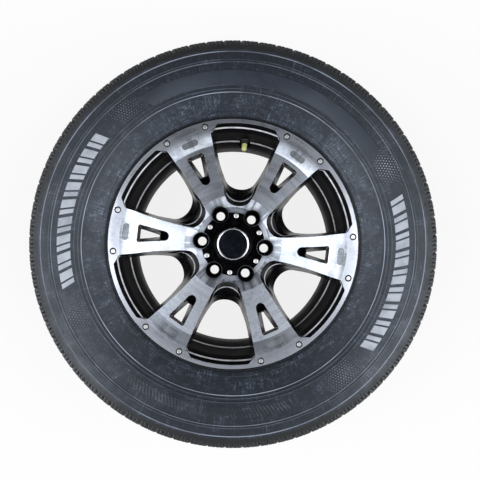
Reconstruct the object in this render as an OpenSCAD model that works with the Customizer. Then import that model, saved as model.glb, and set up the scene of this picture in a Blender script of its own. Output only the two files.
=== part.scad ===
// Car wheel with tyre: a one-piece cast alloy wheel with six slotted spokes, a screwed-on centre cap,
// a snap-in tyre valve and a tubeless radial tyre.
// The wheel axis is Z and the styled face looks along +Z. The origin is the centre of the hub's
// mounting face. Radii are measured from the wheel axis. All sizes are in millimetres.

/* [Tyre] */
// Overall diameter of the tyre at the middle of its tread
tyre_d = 749.4; // [735:1:765]
// Width of the inflated tyre across its sidewalls
section_w = 258; // [250:1:266]
// Width of the tread from edge to edge
tread_w = 194; // [186:1:200]
// How far the tread edge lies below the crown
tread_drop = 12; // [8:1:14]
// Rubber, belts and casing together at the crown
crown_t = 18.5; // [16:0.5:21]
// Thickness of the sidewall at its widest point
side_t = 9; // [7:0.5:11]
// Depth of the grooves that run round the tread
groove_depth = 8.5; // [6:0.5:10]
// Width of those grooves at the tread face
groove_w = 10; // [7:0.5:12]
// Distance from the tyre's middle to the inner pair of grooves
groove_in = 22; // [18:1:26]
// Distance from the tyre's middle to the outer pair of grooves
groove_out = 60; // [54:1:64]
// Number of shoulder slots on each side
lug_count = 72; // [60:6:84]
// Width of a shoulder slot
lug_gap = 4.6; // [3:0.2:6]
// Depth of a shoulder slot
lug_depth = 7; // [4:0.5:9]
// Slant of a shoulder slot
lug_slant = 12; // [0:1:20]
// Height of the rings moulded on the sidewall
ring_h = 0.9; // [0.5:0.1:1.5]

/* [Rim] */
// Diameter at which the tyre beads sit
rim_d = 405.6; // [400:0.2:411]
// Width between the two flanges, where the beads press
rim_w = 203.2; // [195:0.2:209]
// Outside diameter of the flanges
flange_d = 442; // [439:0.5:445]
// Width of a flange outside the bead
lip_w = 12.9; // [12:0.1:15]
// Radius of the flange's curl on the tyre side
curl_r = 9.5; // [8.5:0.1:10.5]
// Radius in the corner of the bead seat
heel_r = 6.5; // [5:0.1:7.5]
// Distance from the rim's middle plane forward to the mounting face
inset = 42; // [36:1:48]
// Outside diameter of the drop centre
well_d = 371; // [366:1:376]
// Wall of the barrel
barrel_t = 5.5; // [4.5:0.1:7]
// Depth behind the front plane at which the drop centre starts
well_start = 66; // [62:1:70]
// Length of the drop centre
well_len = 36; // [28:1:44]

/* [Spokes] */
// Number of spokes, and of windows between them
spoke_count = 6; // [5:1:7]
// Width of a spoke where it meets the rim
spoke_w = 85; // [76:0.5:90]
// Angle between a spoke's edge and its own centreline
spoke_taper = 10.5; // [9.5:0.25:11.5]
// Draft of the window walls, as millimetres per millimetre of depth
wall_draft = 0.144; // [0.1:0.004:0.18]
// Distance along a spoke's centreline to the corners of its rim pad
corner_v = 195; // [192:0.5:198]
// Radius of the outer edge of the windows
window_out_r = 212; // [210.5:0.25:213]
// Radius of the inner edge of the windows, at the hub's front
window_in_r = 67.9; // [66:0.1:72]
// Outward bow of each window side
window_bow = 3.2; // [0:0.2:4]
// Half the angle that a spoke's pad covers on the rim
pad_angle = 16.25; // [15.5:0.25:17]
// Inner radius of the flat rim pads
pad_r = 201.3; // [199:0.1:204]
// Outer radius of the flat spoke face
face_out_r = 177; // [174:0.5:180]
// Inner radius of the flat spoke face
face_in_r = 85; // [82:0.5:88]
// Depth of the spoke face below the rim pads, at the rim end
face_drop_out = 8; // [5:0.5:11]
// Depth of the spoke face below the rim pads, at the hub end
face_drop_in = 3; // [1:0.5:6]
// Thickness of a spoke, front to back, half way along
spoke_t = 40; // [34:1:46]
// Depth of the hollows cast into the back of each spoke
core_depth = 22; // [12:1:26]
// Metal left round those hollows
core_wall = 6; // [5:0.5:8]
// Radius at which those hollows begin
core_in_r = 118; // [114:1:126]
// Radius at which those hollows end
core_out_r = 166; // [160:1:169]

/* [Spoke slots and recesses] */
// Radius at which a spoke's triangular hole has its base
slot_base_r = 169.7; // [166:0.1:172]
// Width of the triangular hole at its base
slot_base_w = 33.4; // [29:0.1:36]
// Radius at which the sides of the triangular hole would meet
slot_apex_r = 74.5; // [66:0.5:84]
// Rounding of the base corners of the triangular hole
slot_corner = 3.5; // [2:0.1:4.5]
// Rounding of the tip of the triangular hole
slot_tip = 7.9; // [6:0.1:9]
// Draft of the sides of the triangular hole
slot_draft = 0.187; // [0.12:0.001:0.2]
// Slope of the wall at the hole's tip
slot_tip_draft = 1.25; // [0.7:0.05:1.4]
// Length of the oblong recess on a spoke's sloping end, across the spoke
recess_l = 30; // [22:0.5:36]
// Width of that recess, along the spoke
recess_w = 11; // [8:0.5:12]
// Depth of that recess
recess_depth = 1.4; // [0.8:0.1:2]
// Radius at which that recess is centred
recess_r = 190; // [188:0.5:192]

/* [Hub] */
// Bolt circle of the lug holes
pcd = 114.3; // [112:0.1:116]
// Diameter of a lug hole where the stud passes
lug_hole_d = 16; // [14.5:0.1:17]
// Diameter of the deep pocket for the nut and its wrench
lug_pocket_d = 25.5; // [24:0.1:26]
// Metal left under the nut
lug_floor = 15; // [12:0.5:18]
// Diameter of the mouth of the nut's tapered seat
lug_seat_d = 21; // [19:0.1:23]
// Diameter of the centre bore
bore_d = 66.1; // [60:0.1:68]
// Length of the centre bore
bore_len = 28; // [20:1:34]
// Diameter of the opening in front of the centre bore
mouth_d = 76; // [74:0.5:78]
// Outer diameter of the mounting face
mount_face_d = 160; // [152:1:164]
// Depth of the hub's front ring below the rim pads
hub_drop = 9; // [7:0.5:12]
// Outer diameter of the hub's front ring
hub_ring_d = 131; // [128:0.5:134]
// Diameter of the lightening pockets in the mounting face
back_pocket_d = 20; // [14:0.5:22]
// Depth of those pockets
back_pocket_depth = 36; // [20:1:40]

/* [Centre cap] */
// Diameter of the cap's plate
cap_d = 111; // [108:0.5:113]
// Thickness of the plate
cap_t = 4; // [3:0.25:5]
// Diameter of the scallop round each lug hole
scallop_d = 30; // [28:0.25:31]
// Diameter of the raised boss in the middle
boss_d = 68; // [65:0.5:70]
// Height of the boss above the plate
boss_h = 4.5; // [3:0.25:6]
// Outer diameter of the six lobes round the boss
lobe_d = 80; // [76:0.5:83]
// Angle that one lobe covers
lobe_angle = 21; // [14:1:28]
// Wall of the boss and of the ring that locates the cap
cap_wall = 3; // [2:0.25:4]
// How far the locating ring reaches into the hub
cap_spigot = 6; // [4:0.5:10]
// Outer diameter of the bright ring
badge_ring_d = 57; // [54:0.5:60]
// Width of the bright ring
badge_ring_w = 3.9; // [2.5:0.1:5]
// Depth of the seat for the ring and its plain disc
badge_seat = 2.2; // [1.5:0.1:3]

/* [Fasteners] */
// Circle on which the cap's screws lie
cap_screw_pcd = 100; // [99:0.5:101]
// Thread diameter of a cap screw
cap_screw_d = 6; // [4:0.5:6.5]
// Length of a cap screw under its head
cap_screw_l = 16; // [12:1:18]
// Head diameter of a cap screw
cap_head_d = 8.8; // [8:0.1:9.2]
// Head height of a cap screw
cap_head_h = 3; // [2:0.25:4]
// Depth at which a cap screw's head is let into the plate
cap_head_sink = 1; // [0.5:0.25:1.5]
// Across the flats of a cap screw's socket
cap_socket = 4; // [3:0.25:4.5]
// Circle on which the rim bolts lie
rim_bolt_pcd = 421; // [419:0.5:423]
// Angle between a spoke's centreline and its rim bolts
rim_bolt_angle = 9.95; // [8:0.05:11]
// Diameter of the recess round a rim bolt
rim_recess_d = 11.7; // [10.5:0.1:12.5]
// Depth of the recess round a rim bolt
rim_recess_depth = 2; // [1.5:0.1:2.5]
// Head diameter of a rim bolt
rim_head_d = 8; // [7:0.1:9]
// Shank diameter of a rim bolt
rim_bolt_d = 5; // [4:0.25:5.5]
// Shank length of a rim bolt
rim_bolt_l = 6; // [4:0.5:7]

/* [Valve] */
// Angle between the valve and the wheel's radius
valve_tilt = 25; // [20:1:30]
// Radius of the valve's seat on the inside of the barrel
valve_seat_r = 192; // [191:0.25:193]
// Depth of the valve's seat behind the front plane
valve_depth = 46; // [45:0.5:49]
// Diameter of the valve hole in the rim
valve_hole_d = 11.3; // [11:0.1:12]
// Metal left round the valve hole
valve_seat_t = 3.5; // [3:0.1:4]
// Diameter of the flat seat cut round the valve hole
valve_spot_d = 19; // [18:0.25:21]
// How far the valve stands out of its seat, cap included
valve_out = 23; // [21:0.5:26]
// Diameter of the rubber foot on the tyre side
valve_foot_d = 18; // [16:0.5:19]
// Diameter of the brass tube
tube_d = 7.7; // [7.2:0.1:8]
// Bore of the brass tube
tube_bore = 4.6; // [4.2:0.1:5]
// Diameter of the plastic cap
valve_cap_d = 9.4; // [9:0.1:10.5]
// Length of the plastic cap
valve_cap_l = 12.5; // [11:0.25:13]
// Diameter of the core's pin
pin_d = 1.5; // [1.2:0.1:1.7]
// How far the pin can be pressed in
pin_travel = 1.5; // [0.8:0.1:2]

/* [Clearances] */
// Gap between a bead and the rim
bead_gap = 0.2; // [0.1:0.05:0.4]
// Radial gap round screws and bolts in their threads
thread_gap = 0.05; // [0.02:0.01:0.1]
// Radial gap of parts that are put together by hand
seat_gap = 0.2; // [0.1:0.05:0.3]
// Radial gap of the valve cap on its tube and of the pin in its core
run_gap = 0.06; // [0.03:0.01:0.1]

/* [Hidden] */
spoke_step = 360 / spoke_count;
cap_screws = [for (i = [1 : spoke_count]) str("cap_screw_", i)];
rim_bolts = [for (i = [1 : 2 * spoke_count]) str("rim_bolt_", i)];
$fn = 96;

// Planes of the rim, along the wheel axis
mid_z = -inset;
bead_y = rim_w / 2;
half_w = bead_y + lip_w;
front_z = mid_z + half_w;

// Radii of the rim
bead_r = rim_d / 2;
flange_r = flange_d / 2;
well_r = well_d / 2;
well_in_r = well_r - barrel_t;
ledge_r = bead_r - 1.8;
seat_w = 14;
hump_w = 7.5;
lip_round = 3;

// Heights of the wheel's face
hub_z = front_z - hub_drop;
cap_top_z = hub_z + cap_t;
boss_z = cap_top_z + boss_h;
badge_z = boss_z - badge_seat;

// Points of an arc about [x, y], from angle a0 to a1 in n steps
function arc(x, y, r, a0, a1, n) =
    [for (i = [0 : n]) let (a = a0 + (a1 - a0) * i / n) [x + r * cos(a), y + r * sin(a)]];

// The same points reflected in the first axis, in reverse order, so that an outline closes
function reflect(points) = [for (i = [len(points) - 1 : -1 : 0]) [points[i][0], -points[i][1]]];

// Points that round the corner b of the path a, b, c to radius r
function corner(a, b, c, r, n) =
    let (
        u = (a - b) / norm(a - b),
        v = (c - b) / norm(c - b),
        half = acos(max(-1, min(1, u * v))) / 2,
        m = (u + v) / norm(u + v),
        centre = b + m * r / sin(half),
        p = b + u * r / tan(half) - centre,
        q = b + v * r / tan(half) - centre,
        a0 = atan2(p[1], p[0]),
        turn = atan2(p[0] * q[1] - p[1] * q[0], p * q)
    )
    arc(centre[0], centre[1], r, a0, a0 + turn, n);

// Solid skinned over rings of equally many points, each clockwise when seen from the ring after it
module skin(rings) {
    n = len(rings[0]);
    m = len(rings);
    sides = [for (k = [0 : m - 2]) for (i = [0 : n - 1]) let (j = (i + 1) % n)
        each [[k * n + i, (k + 1) * n + j, (k + 1) * n + i], [k * n + i, k * n + j, (k + 1) * n + j]]];
    first_face = [for (i = [n - 1 : -1 : 0]) i];
    last_face = [for (i = [0 : n - 1]) (m - 1) * n + i];
    polyhedron([for (ring = rings) each ring], concat([first_face, last_face], sides));
}

// Solid through clockwise outlines, each at its own height, lowest first
module loft(heights, outlines) {
    skin([for (k = [0 : len(outlines) - 1]) [for (p = outlines[k]) [p[0], p[1], heights[k]]]]);
}

// Wire of a helical spring round Z, between the heights low and high of its centreline
module helix(wire_d, coil_r, low, high, turns) {
    steps = 20;
    sides = 8;
    skin([for (k = [0 : steps * turns]) let (a = k * 360 / steps, z = low + (high - low) * k / (steps * turns))
        [for (j = [0 : sides - 1]) let (b = j * 360 / sides, r = coil_r + wire_d / 2 * cos(b))
            [r * cos(a), r * sin(a), z + wire_d / 2 * sin(b)]]]);
}

// Copies its children once for each spoke, turned by a part of a step
module round_spokes(shift = 0) {
    for (i = [0 : spoke_count - 1])
        rotate([0, 0, (i + shift) * spoke_step]) children();
}

// Turns a profile of radius and height into a ring about Z
module turn_ring(profile) {
    rotate_extrude($fn = 192) polygon(profile);
}

// Tyre

tyre_r = tyre_d / 2;
tread_y = tread_w / 2;
side_y = section_w / 2;
edge_r = tyre_r - tread_drop;
widest_r = bead_r + 0.49 * (tyre_r - bead_r);
flare = [flange_r + 3, bead_y + 0.65 * curl_r];
shoulder = [edge_r - 17, side_y - 20.5];

// Radius of the circle that is level at the widest point and passes through p
function side_arc_r(p) =
    let (dr = p[0] - widest_r, dy = side_y - p[1]) (dr * dr + dy * dy) / (2 * dy);
low_r = side_arc_r(flare);
high_r = side_arc_r(shoulder);

// Distance of the sidewall's face from the tyre's middle, at radius r
function side_face(r) = let (R = r < widest_r ? low_r : high_r)
    side_y - R + sqrt(R * R - pow(r - widest_r, 2));
// Radius of the tread's face at distance y from the tyre's middle
function crown(y) = tyre_r - tread_drop * pow(y / tread_y, 2);

side_steps = 9;
side_radii_low = [for (i = [0 : side_steps]) flare[0] + (widest_r - flare[0]) * i / side_steps];
side_radii_high = [for (i = [1 : side_steps]) widest_r + (shoulder[0] - widest_r) * i / side_steps];
bead_curve_r = curl_r + bead_gap;
bead_top = bead_y + curl_r;

// Half of the tyre's section, from the middle of its inside round the bead to its crown
tyre_half = concat(
    [for (i = [0 : 5]) [tyre_r - crown_t - 9 * pow(i / 5, 2), (tread_y - 10) * i / 5]],
    [for (i = [side_steps - 2 : -1 : 0])
        let (r = side_radii_high[i]) [r - side_t * (r - widest_r) / high_r, side_face(r) - side_t]],
    [for (i = [side_steps - 1 : -1 : 2]) let (r = side_radii_low[i]) [r, side_face(r) - side_t]],
    [[bead_r + 12, bead_y - 19], [bead_r + 3, bead_y - 21.5], [bead_r + bead_gap - 1.1, bead_y - 19.5]],
    arc(bead_r + heel_r, bead_y - heel_r, heel_r - bead_gap, 180, 90, 4),
    arc(flange_r - curl_r, bead_top, bead_curve_r, -90, -20, 5),
    [for (r = side_radii_low) [r, side_face(r)]],
    [for (r = side_radii_high) [r, side_face(r)]],
    [[edge_r - 7, tread_y + 7.5], [edge_r - 2, tread_y + 3]],
    [for (i = [8 : -1 : 0]) let (y = tread_y * i / 8) [crown(y), y]]);

// Rings moulded on the sidewall: radius and width of each
side_rings = [
    [flange_r + 8, 6], [bead_r + 60.2, 1.3], [bead_r + 65.6, 1.6], [bead_r + 72.2, 2.2],
    [edge_r - 46.3, 1.4], [edge_r - 41.6, 1.4], [edge_r - 22.8, 5]];

// Section of one ring, standing on the face of the sidewall
function side_ring(ring) =
    let (
        r = ring[0],
        turn = asin((r - widest_r) / (r < widest_r ? low_r : high_r)),
        along = [cos(turn), -sin(turn)],
        out = [sin(turn), cos(turn)],
        foot = [r, side_face(r)],
        half = ring[1] / 2
    )
    [foot - along * (half + ring_h) - out * ring_h, foot - along * half + out * ring_h,
     foot + along * half + out * ring_h, foot + along * (half + ring_h) - out * ring_h];

// A groove round the tread, centred at y
module groove(y) {
    top = crown(y) + 5;
    low = crown(y) - groove_depth;
    polygon([[low, y - groove_w / 2 + 1.5], [low, y + groove_w / 2 - 1.5],
             [top, y + groove_w / 2 + 1], [top, y - groove_w / 2 - 1]]);
}

module tyre_section() {
    difference() {
        union() {
            polygon(concat(tyre_half, [for (i = [len(tyre_half) - 2 : -1 : 1])
                [tyre_half[i][0], -tyre_half[i][1]]]));
            for (ring = side_rings) {
                polygon(side_ring(ring));
                polygon(reflect(side_ring(ring)));
            }
        }
        for (y = [-groove_out, -groove_in, groove_in, groove_out]) groove(y);
    }
}

// Slots of one shoulder, cut from the outer groove out over the tread's edge
module shoulder_slots() {
    reach = tread_y - groove_out - groove_w - 2;
    for (i = [0 : lug_count - 1])
        rotate([0, 0, i * 360 / lug_count])
            translate([edge_r - lug_depth, 0, groove_out + groove_w + 2])
                rotate([lug_slant, 0, 0])
                    translate([0, -lug_gap / 2, 0])
                        cube([tread_drop + lug_depth + 5, lug_gap, reach + 14]);
}

module tyre() {
    color("#33373d") translate([0, 0, mid_z]) difference() {
        rotate_extrude($fn = 192) tyre_section();
        shoulder_slots();
        mirror([0, 0, 1]) shoulder_slots();
    }
}

// Rim

// One side of the rim on the tyre's side, from the flange's front to the ledge behind the hump
rim_side = concat(
    arc(flange_r - lip_round, half_w - lip_round, lip_round, 90, 0, 4),
    arc(flange_r - curl_r, bead_y + curl_r, curl_r, 0, -90, 6),
    arc(bead_r + heel_r, bead_y - heel_r, heel_r, 90, 180, 4),
    [[bead_r - 1.2, bead_y - heel_r - seat_w],
     [bead_r - 0.3, bead_y - heel_r - seat_w - 2.5],
     [bead_r - 0.3, bead_y - heel_r - seat_w - 4.5],
     [ledge_r, bead_y - heel_r - seat_w - hump_w]]);

well_front_y = half_w - well_start;
well_back_y = well_front_y - well_len;
ledge_in_r = ledge_r - barrel_t;

rim_profile = concat(
    [[window_out_r, half_w]],
    rim_side,
    [[well_r, well_front_y], [well_r, well_back_y], [ledge_r, well_back_y - 34]],
    reflect(rim_side),
    [[window_out_r - 2, -half_w],
     [ledge_in_r + 9, -half_w + 8],
     [ledge_in_r, -half_w + 22],
     [ledge_in_r, well_back_y - 36],
     [well_in_r, well_back_y - 2],
     [well_in_r, well_front_y + 4],
     [valve_seat_r - 2.2, half_w - 42],
     [bead_r - 5.3, half_w - 20],
     [bead_r - 4.3, half_w - 16],
     [window_out_r - 5.5, half_w - 5]]);

// Spoke disc

back_z = front_z - (face_drop_in + face_drop_out) / 2 - spoke_t;
disc_out_r = window_out_r + 2;
slope_steps = 6;
slope_power = 1.7;
slope_l = pad_r - face_out_r;

// Height of the hollow slope between the spoke face and the rim pads, at radius r
function slope_z(r) = front_z - face_drop_out * pow((pad_r - r) / slope_l, slope_power);
// Angle of that slope
function slope_angle(r) =
    atan(face_drop_out * slope_power * pow((pad_r - r) / slope_l, slope_power - 1) / slope_l);

pad_slope = [for (i = [0 : slope_steps]) let (r = face_out_r + slope_l * i / slope_steps) [r, slope_z(r)]];
disc_profile = concat(
    [[mouth_d / 2, hub_z], [hub_ring_d / 2, hub_z], [face_in_r, front_z - face_drop_in]],
    pad_slope,
    [[disc_out_r, front_z], [disc_out_r, front_z - 6],
     [bead_r - 3, front_z - 16], [bead_r - 4, front_z - 36],
     [well_r + 1, front_z - 56],
     [well_in_r + 3, back_z - 3], [150, back_z], [120, back_z - 1],
     [102, back_z - 12], [mount_face_d / 2 + 4, 5], [mount_face_d / 2, 0],
     [bore_d / 2, 0], [bore_d / 2, bore_len], [mouth_d / 2, bore_len + 4]]);

// Windows

crease_depth = 26;
crease_in_r = window_in_r + 18.4;
cutter_depth = 78;
mean_face_depth = (face_drop_in + face_drop_out) / 2;
cutter_top = -1;
core_draft = 0.1;
core_round = 4;

// Radius of a window's inner edge at a depth behind the front plane
function window_nose(depth) = depth < crease_depth
    ? crease_in_r - (crease_depth - depth) * (crease_in_r - window_in_r) / (crease_depth - hub_drop)
    : crease_in_r + (depth - crease_depth) * 0.5;

// Outline of a window at a depth, with the window's centreline along X
function window_outline(depth) =
    let (
        shrink = wall_draft * (depth - mean_face_depth),
        half_step = spoke_step / 2,
        side_angle = half_step - spoke_taper,
        hw = spoke_w / 2 + shrink,
        v = corner_v - shrink / 2,
        pad_corner = [v * cos(half_step) + hw * sin(half_step), v * sin(half_step) - hw * cos(half_step)],
        rim_angle = half_step - pad_angle - shrink / window_out_r * 57.3,
        rim_corner = [window_out_r * cos(rim_angle), window_out_r * sin(rim_angle)],
        rim_next = [window_out_r * cos(rim_angle - 2), window_out_r * sin(rim_angle - 2)],
        nose = window_nose(depth),
        nose_r = (pad_corner[1] * cos(side_angle) - (pad_corner[0] - nose) * sin(side_angle))
            / (1 - sin(side_angle)),
        side_from = [nose + nose_r - nose_r * sin(side_angle), nose_r * cos(side_angle)],
        side_to = pad_corner,
        across = [-sin(side_angle), cos(side_angle)],
        bowed = [for (i = [1 : 5]) let (t = i / 6)
            side_from + (side_to - side_from) * t + across * 4 * window_bow * t * (1 - t)],
        half = concat(
            arc(nose + nose_r, 0, nose_r, 180, 90 + side_angle, 12),
            bowed,
            corner(bowed[4], pad_corner, rim_corner, 6, 3),
            corner(pad_corner, rim_corner, rim_next, 4, 3),
            arc(0, 0, window_out_r, rim_angle - 3, 0, 5))
    )
    concat(half, [for (i = [len(half) - 2 : -1 : 1]) [half[i][0], -half[i][1]]]);

module window() {
    depths = [cutter_depth, crease_depth, cutter_top];
    loft([for (d = depths) front_z - d], [for (d = depths) window_outline(d)]);
}

// Triangular holes

// Outline of a spoke's hole at a depth, with the spoke's centreline along X
function slot_outline(depth) =
    let (
        shrink = slot_draft * (depth - mean_face_depth),
        base = [slot_base_r, slot_base_w / 2 - shrink],
        apex = [slot_apex_r + slot_tip_draft * (depth - mean_face_depth), 0],
        tip = max(0.8, slot_tip - shrink),
        round_r = max(0.8, slot_corner - shrink / 3),
        low = [base[0], -base[1]]
    )
    concat(corner(apex, base, low, round_r, 5), corner(base, low, apex, round_r, 5),
        corner(low, apex, base, tip, 9));

module spoke_hole() {
    depths = [spoke_t + face_drop_out + 6, cutter_top];
    loft([for (d = depths) front_z - d], [for (d = depths) slot_outline(d)]);
}

// Half width of a spoke's hole at radius v and a depth, or zero inside its tip
function hole_half(v, depth) =
    let (
        shrink = slot_draft * (depth - mean_face_depth),
        apex = slot_apex_r + slot_tip_draft * (depth - mean_face_depth)
    )
    max(0, (slot_base_w / 2 - shrink) * (v - apex) / (slot_base_r - apex));

// Half width of a spoke at radius v and a depth, at the hollow of its bowed sides
function spoke_half(v, depth) =
    spoke_w / 2 + wall_draft * (depth - mean_face_depth) - (corner_v - v) * tan(spoke_taper) - window_bow;

// Outline of the hollow in the back of a spoke, on the side of its hole that faces +Y
function core_outline(depth) =
    let (
        draft = core_draft * (front_z - back_z - depth),
        v0 = core_in_r + draft,
        v1 = core_out_r - draft,
        a = [v0, hole_half(v0, depth) + core_wall],
        b = [v0, spoke_half(v0, depth) - core_wall],
        c = [v1, spoke_half(v1, depth) - core_wall],
        d = [v1, hole_half(v1, depth) + core_wall]
    )
    concat(corner(d, a, b, core_round, 3), corner(a, b, c, core_round, 3),
        corner(b, c, d, core_round, 3), corner(c, d, a, core_round, 3));

module spoke_cores() {
    depths = [front_z - back_z + 3, front_z - back_z - core_depth];
    outlines = [for (d = depths) core_outline(d)];
    heights = [for (d = depths) front_z - d];
    loft(heights, outlines);
    loft(heights, [for (outline = outlines) reflect(outline)]);
}

// Oblong recess on the sloping end of a spoke
module spoke_recess() {
    straight = recess_l - recess_w;
    translate([recess_r, 0, slope_z(recess_r) - recess_depth]) rotate([0, -slope_angle(recess_r), 0])
        linear_extrude(recess_w) union() {
            square([recess_w, straight], center = true);
            for (s = [-1, 1]) translate([0, s * straight / 2]) circle(d = recess_w);
        }
}

// Hub

// Pocket, tapered seat and stud hole of one lug
module lug_cut() {
    seat_half_angle = 30;
    seat_h = (lug_seat_d - lug_hole_d) / 2 / tan(seat_half_angle);
    translate([pcd / 2, 0, 0]) {
        translate([0, 0, -1]) cylinder(d = lug_hole_d, h = lug_floor + 1);
        translate([0, 0, lug_floor - seat_h]) cylinder(d1 = lug_hole_d, d2 = lug_seat_d, h = seat_h);
        translate([0, 0, lug_floor]) cylinder(d = lug_pocket_d, h = front_z);
    }
}

// Hole for a cap screw, a little deeper than the screw reaches
module cap_screw_hole() {
    translate([cap_screw_pcd / 2, 0, cap_top_z - cap_head_sink - cap_screw_l - 1])
        cylinder(d = cap_screw_d + 2 * thread_gap, h = cap_screw_l + 10);
}

module back_pocket() {
    translate([pcd / 2, 0, -1]) cylinder(d = back_pocket_d, h = back_pocket_depth + 1);
}

// Rim bolt hole and its recess, at a signed angle from the spoke's centreline
module rim_bolt_hole(angle) {
    rotate([0, 0, angle]) translate([rim_bolt_pcd / 2, 0, front_z]) {
        translate([0, 0, -rim_recess_depth]) cylinder(d = rim_recess_d, h = rim_recess_depth + 1);
        translate([0, 0, -rim_recess_depth - rim_bolt_l - 0.5])
            cylinder(d = rim_bolt_d + 2 * thread_gap, h = rim_bolt_l + 1);
    }
}

// Places its children in the valve's own frame, whose Z axis runs from the tyre to the cap
module at_valve() {
    translate([0, valve_seat_r, front_z - valve_depth]) rotate([90 - valve_tilt, 0, 0]) children();
}

// Hole for the valve, with a flat seat on each side of the rim
module valve_hole() {
    reach = 14;
    at_valve() {
        translate([0, 0, -reach]) cylinder(d = valve_hole_d, h = 2 * reach);
        cylinder(d = valve_spot_d, h = reach);
        translate([0, 0, -valve_seat_t - reach]) cylinder(d = valve_foot_d + 3, h = reach);
    }
}

module wheel() {
    color("#b9bec8") difference() {
        union() {
            translate([0, 0, mid_z]) turn_ring(rim_profile);
            difference() {
                turn_ring(disc_profile);
                round_spokes(0.5) window();
            }
        }
        round_spokes() {
            spoke_hole();
            spoke_cores();
            spoke_recess();
            lug_cut();
            rim_bolt_hole(rim_bolt_angle);
            rim_bolt_hole(-rim_bolt_angle);
        }
        round_spokes(0.5) {
            cap_screw_hole();
            back_pocket();
        }
        valve_hole();
    }
}

// Centre cap

boss_r = boss_d / 2;
boss_bevel = 4;

module cap_lobes() {
    round_spokes(0.5) rotate([0, 0, -lobe_angle / 2]) translate([0, 0, cap_top_z - 1])
        rotate_extrude(angle = lobe_angle, $fn = 96)
            polygon([[boss_r - 2, 0], [lobe_d / 2, 0], [lobe_d / 2, 2.2], [lobe_d / 2 - 1, 3.2],
                     [boss_r - 2, 3.2]]);
}

module centre_cap() {
    inner_r = boss_r - cap_wall;
    spigot_r = mouth_d / 2 - seat_gap;
    profile = [
        [0, badge_z - cap_wall], [inner_r - 2, badge_z - cap_wall], [inner_r, badge_z - cap_wall - 2],
        [inner_r, hub_z - 0.5], [spigot_r - cap_wall, hub_z - cap_spigot], [spigot_r, hub_z - cap_spigot],
        [spigot_r, hub_z], [cap_d / 2, hub_z], [cap_d / 2, cap_top_z - 1], [cap_d / 2 - 1, cap_top_z],
        [boss_r, cap_top_z], [boss_r, cap_top_z + 1], [boss_r - boss_bevel, boss_z],
        [badge_ring_d / 2 + seat_gap, boss_z], [badge_ring_d / 2 + seat_gap, badge_z], [0, badge_z]];
    color("#0d0d0f") difference() {
        union() {
            turn_ring(profile);
            cap_lobes();
        }
        round_spokes() translate([pcd / 2, 0, hub_z - 1]) cylinder(d = scallop_d, h = cap_t + boss_h);
        round_spokes(0.5) translate([cap_screw_pcd / 2, 0, 0]) {
            translate([0, 0, hub_z - 1]) cylinder(d = cap_screw_d + 2 * seat_gap, h = cap_t + 2);
            translate([0, 0, cap_top_z - cap_head_sink])
                cylinder(d = cap_head_d + 2 * seat_gap, h = cap_head_sink + 1);
        }
    }
}

// Bright ring round the plain disc
module cap_ring() {
    r = badge_ring_d / 2;
    w = badge_ring_w;
    color("#d5d8dc") turn_ring(concat(
        [[r - w, badge_z], [r, badge_z], [r, badge_z + badge_seat - 0.4]],
        arc(r - w / 2, badge_z + badge_seat - 0.4, w / 2, 30, 150, 6),
        [[r - w, badge_z + badge_seat - 0.4]]));
}

module cap_emblem() {
    r = badge_ring_d / 2 - badge_ring_w - seat_gap / 2;
    color("#1c2127") turn_ring([[0, badge_z], [r, badge_z], [r, badge_z + badge_seat - 1],
        [r - 0.6, badge_z + badge_seat - 0.6], [0, badge_z + badge_seat - 0.4]]);
}

// Fasteners

// Socket screw along Z with the underside of its head at zero
module socket_screw(d, l, head_d, head_h, socket) {
    difference() {
        turn_ring([[0, -l], [d / 2 - 0.6, -l], [d / 2, -l + 0.6], [d / 2, 0], [head_d / 2, 0],
            [head_d / 2, head_h * 0.6], [head_d / 2 - head_h * 0.15, head_h * 0.87],
            [head_d / 2 - head_h * 0.4, head_h], [0, head_h]]);
        translate([0, 0, head_h * 0.35]) cylinder(d = socket / cos(30), h = head_h, $fn = 6);
    }
}

module cap_screw(i) {
    color("#dfe2e6") rotate([0, 0, (i - 0.5) * spoke_step])
        translate([cap_screw_pcd / 2, 0, cap_top_z - cap_head_sink])
            socket_screw(cap_screw_d, cap_screw_l, cap_head_d, cap_head_h, cap_socket);
}

module rim_bolt(i) {
    spoke = floor((i - 1) / 2);
    side = i % 2 == 1 ? -1 : 1;
    color("#9aa0a8") rotate([0, 0, spoke * spoke_step + side * rim_bolt_angle])
        translate([rim_bolt_pcd / 2, 0, front_z - rim_recess_depth])
            socket_screw(rim_bolt_d, rim_bolt_l, rim_head_d, rim_recess_depth - 0.2, rim_head_d / 2.6);
}

// Valve, in its own frame: zero is the rim's inner seat and the cap is at the top

tube_top = valve_out - 1.4;
tube_low = -valve_seat_t - 7;
neck_top = valve_out - valve_cap_l - 0.3;
core_top = tube_top - 1;
core_l = 17;
core_d = tube_bore - 2 * seat_gap;
core_low = core_top - core_l;
pin_bore = pin_d + 2 * run_gap;
chamber_d = core_d - 0.9;
chamber_z = 2;
chamber_l = 8;
collar_h = 0.8;
collar_z = core_low + chamber_z + 5.2;
pin_top = core_top + 0.3;
spring_wire = 0.36;
spring_turns = 6;

module valve_stem() {
    hole_r = valve_hole_d / 2 - thread_gap;
    foot_r = valve_foot_d / 2;
    low = -valve_seat_t;
    color("#17181a") at_valve() turn_ring([
        [tube_d / 2, low - 7], [foot_r - 3, low - 7], [foot_r - 0.5, low - 5], [foot_r, low - 1.5],
        [foot_r - 0.8, low], [hole_r, low], [hole_r, 0], [hole_r + 2.1, 0], [hole_r + 2.1, 2],
        [hole_r + 0.6, 4], [tube_d / 2 + 1.1, neck_top - 0.8], [tube_d / 2 + 0.8, neck_top],
        [tube_d / 2, neck_top]]);
}

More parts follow.
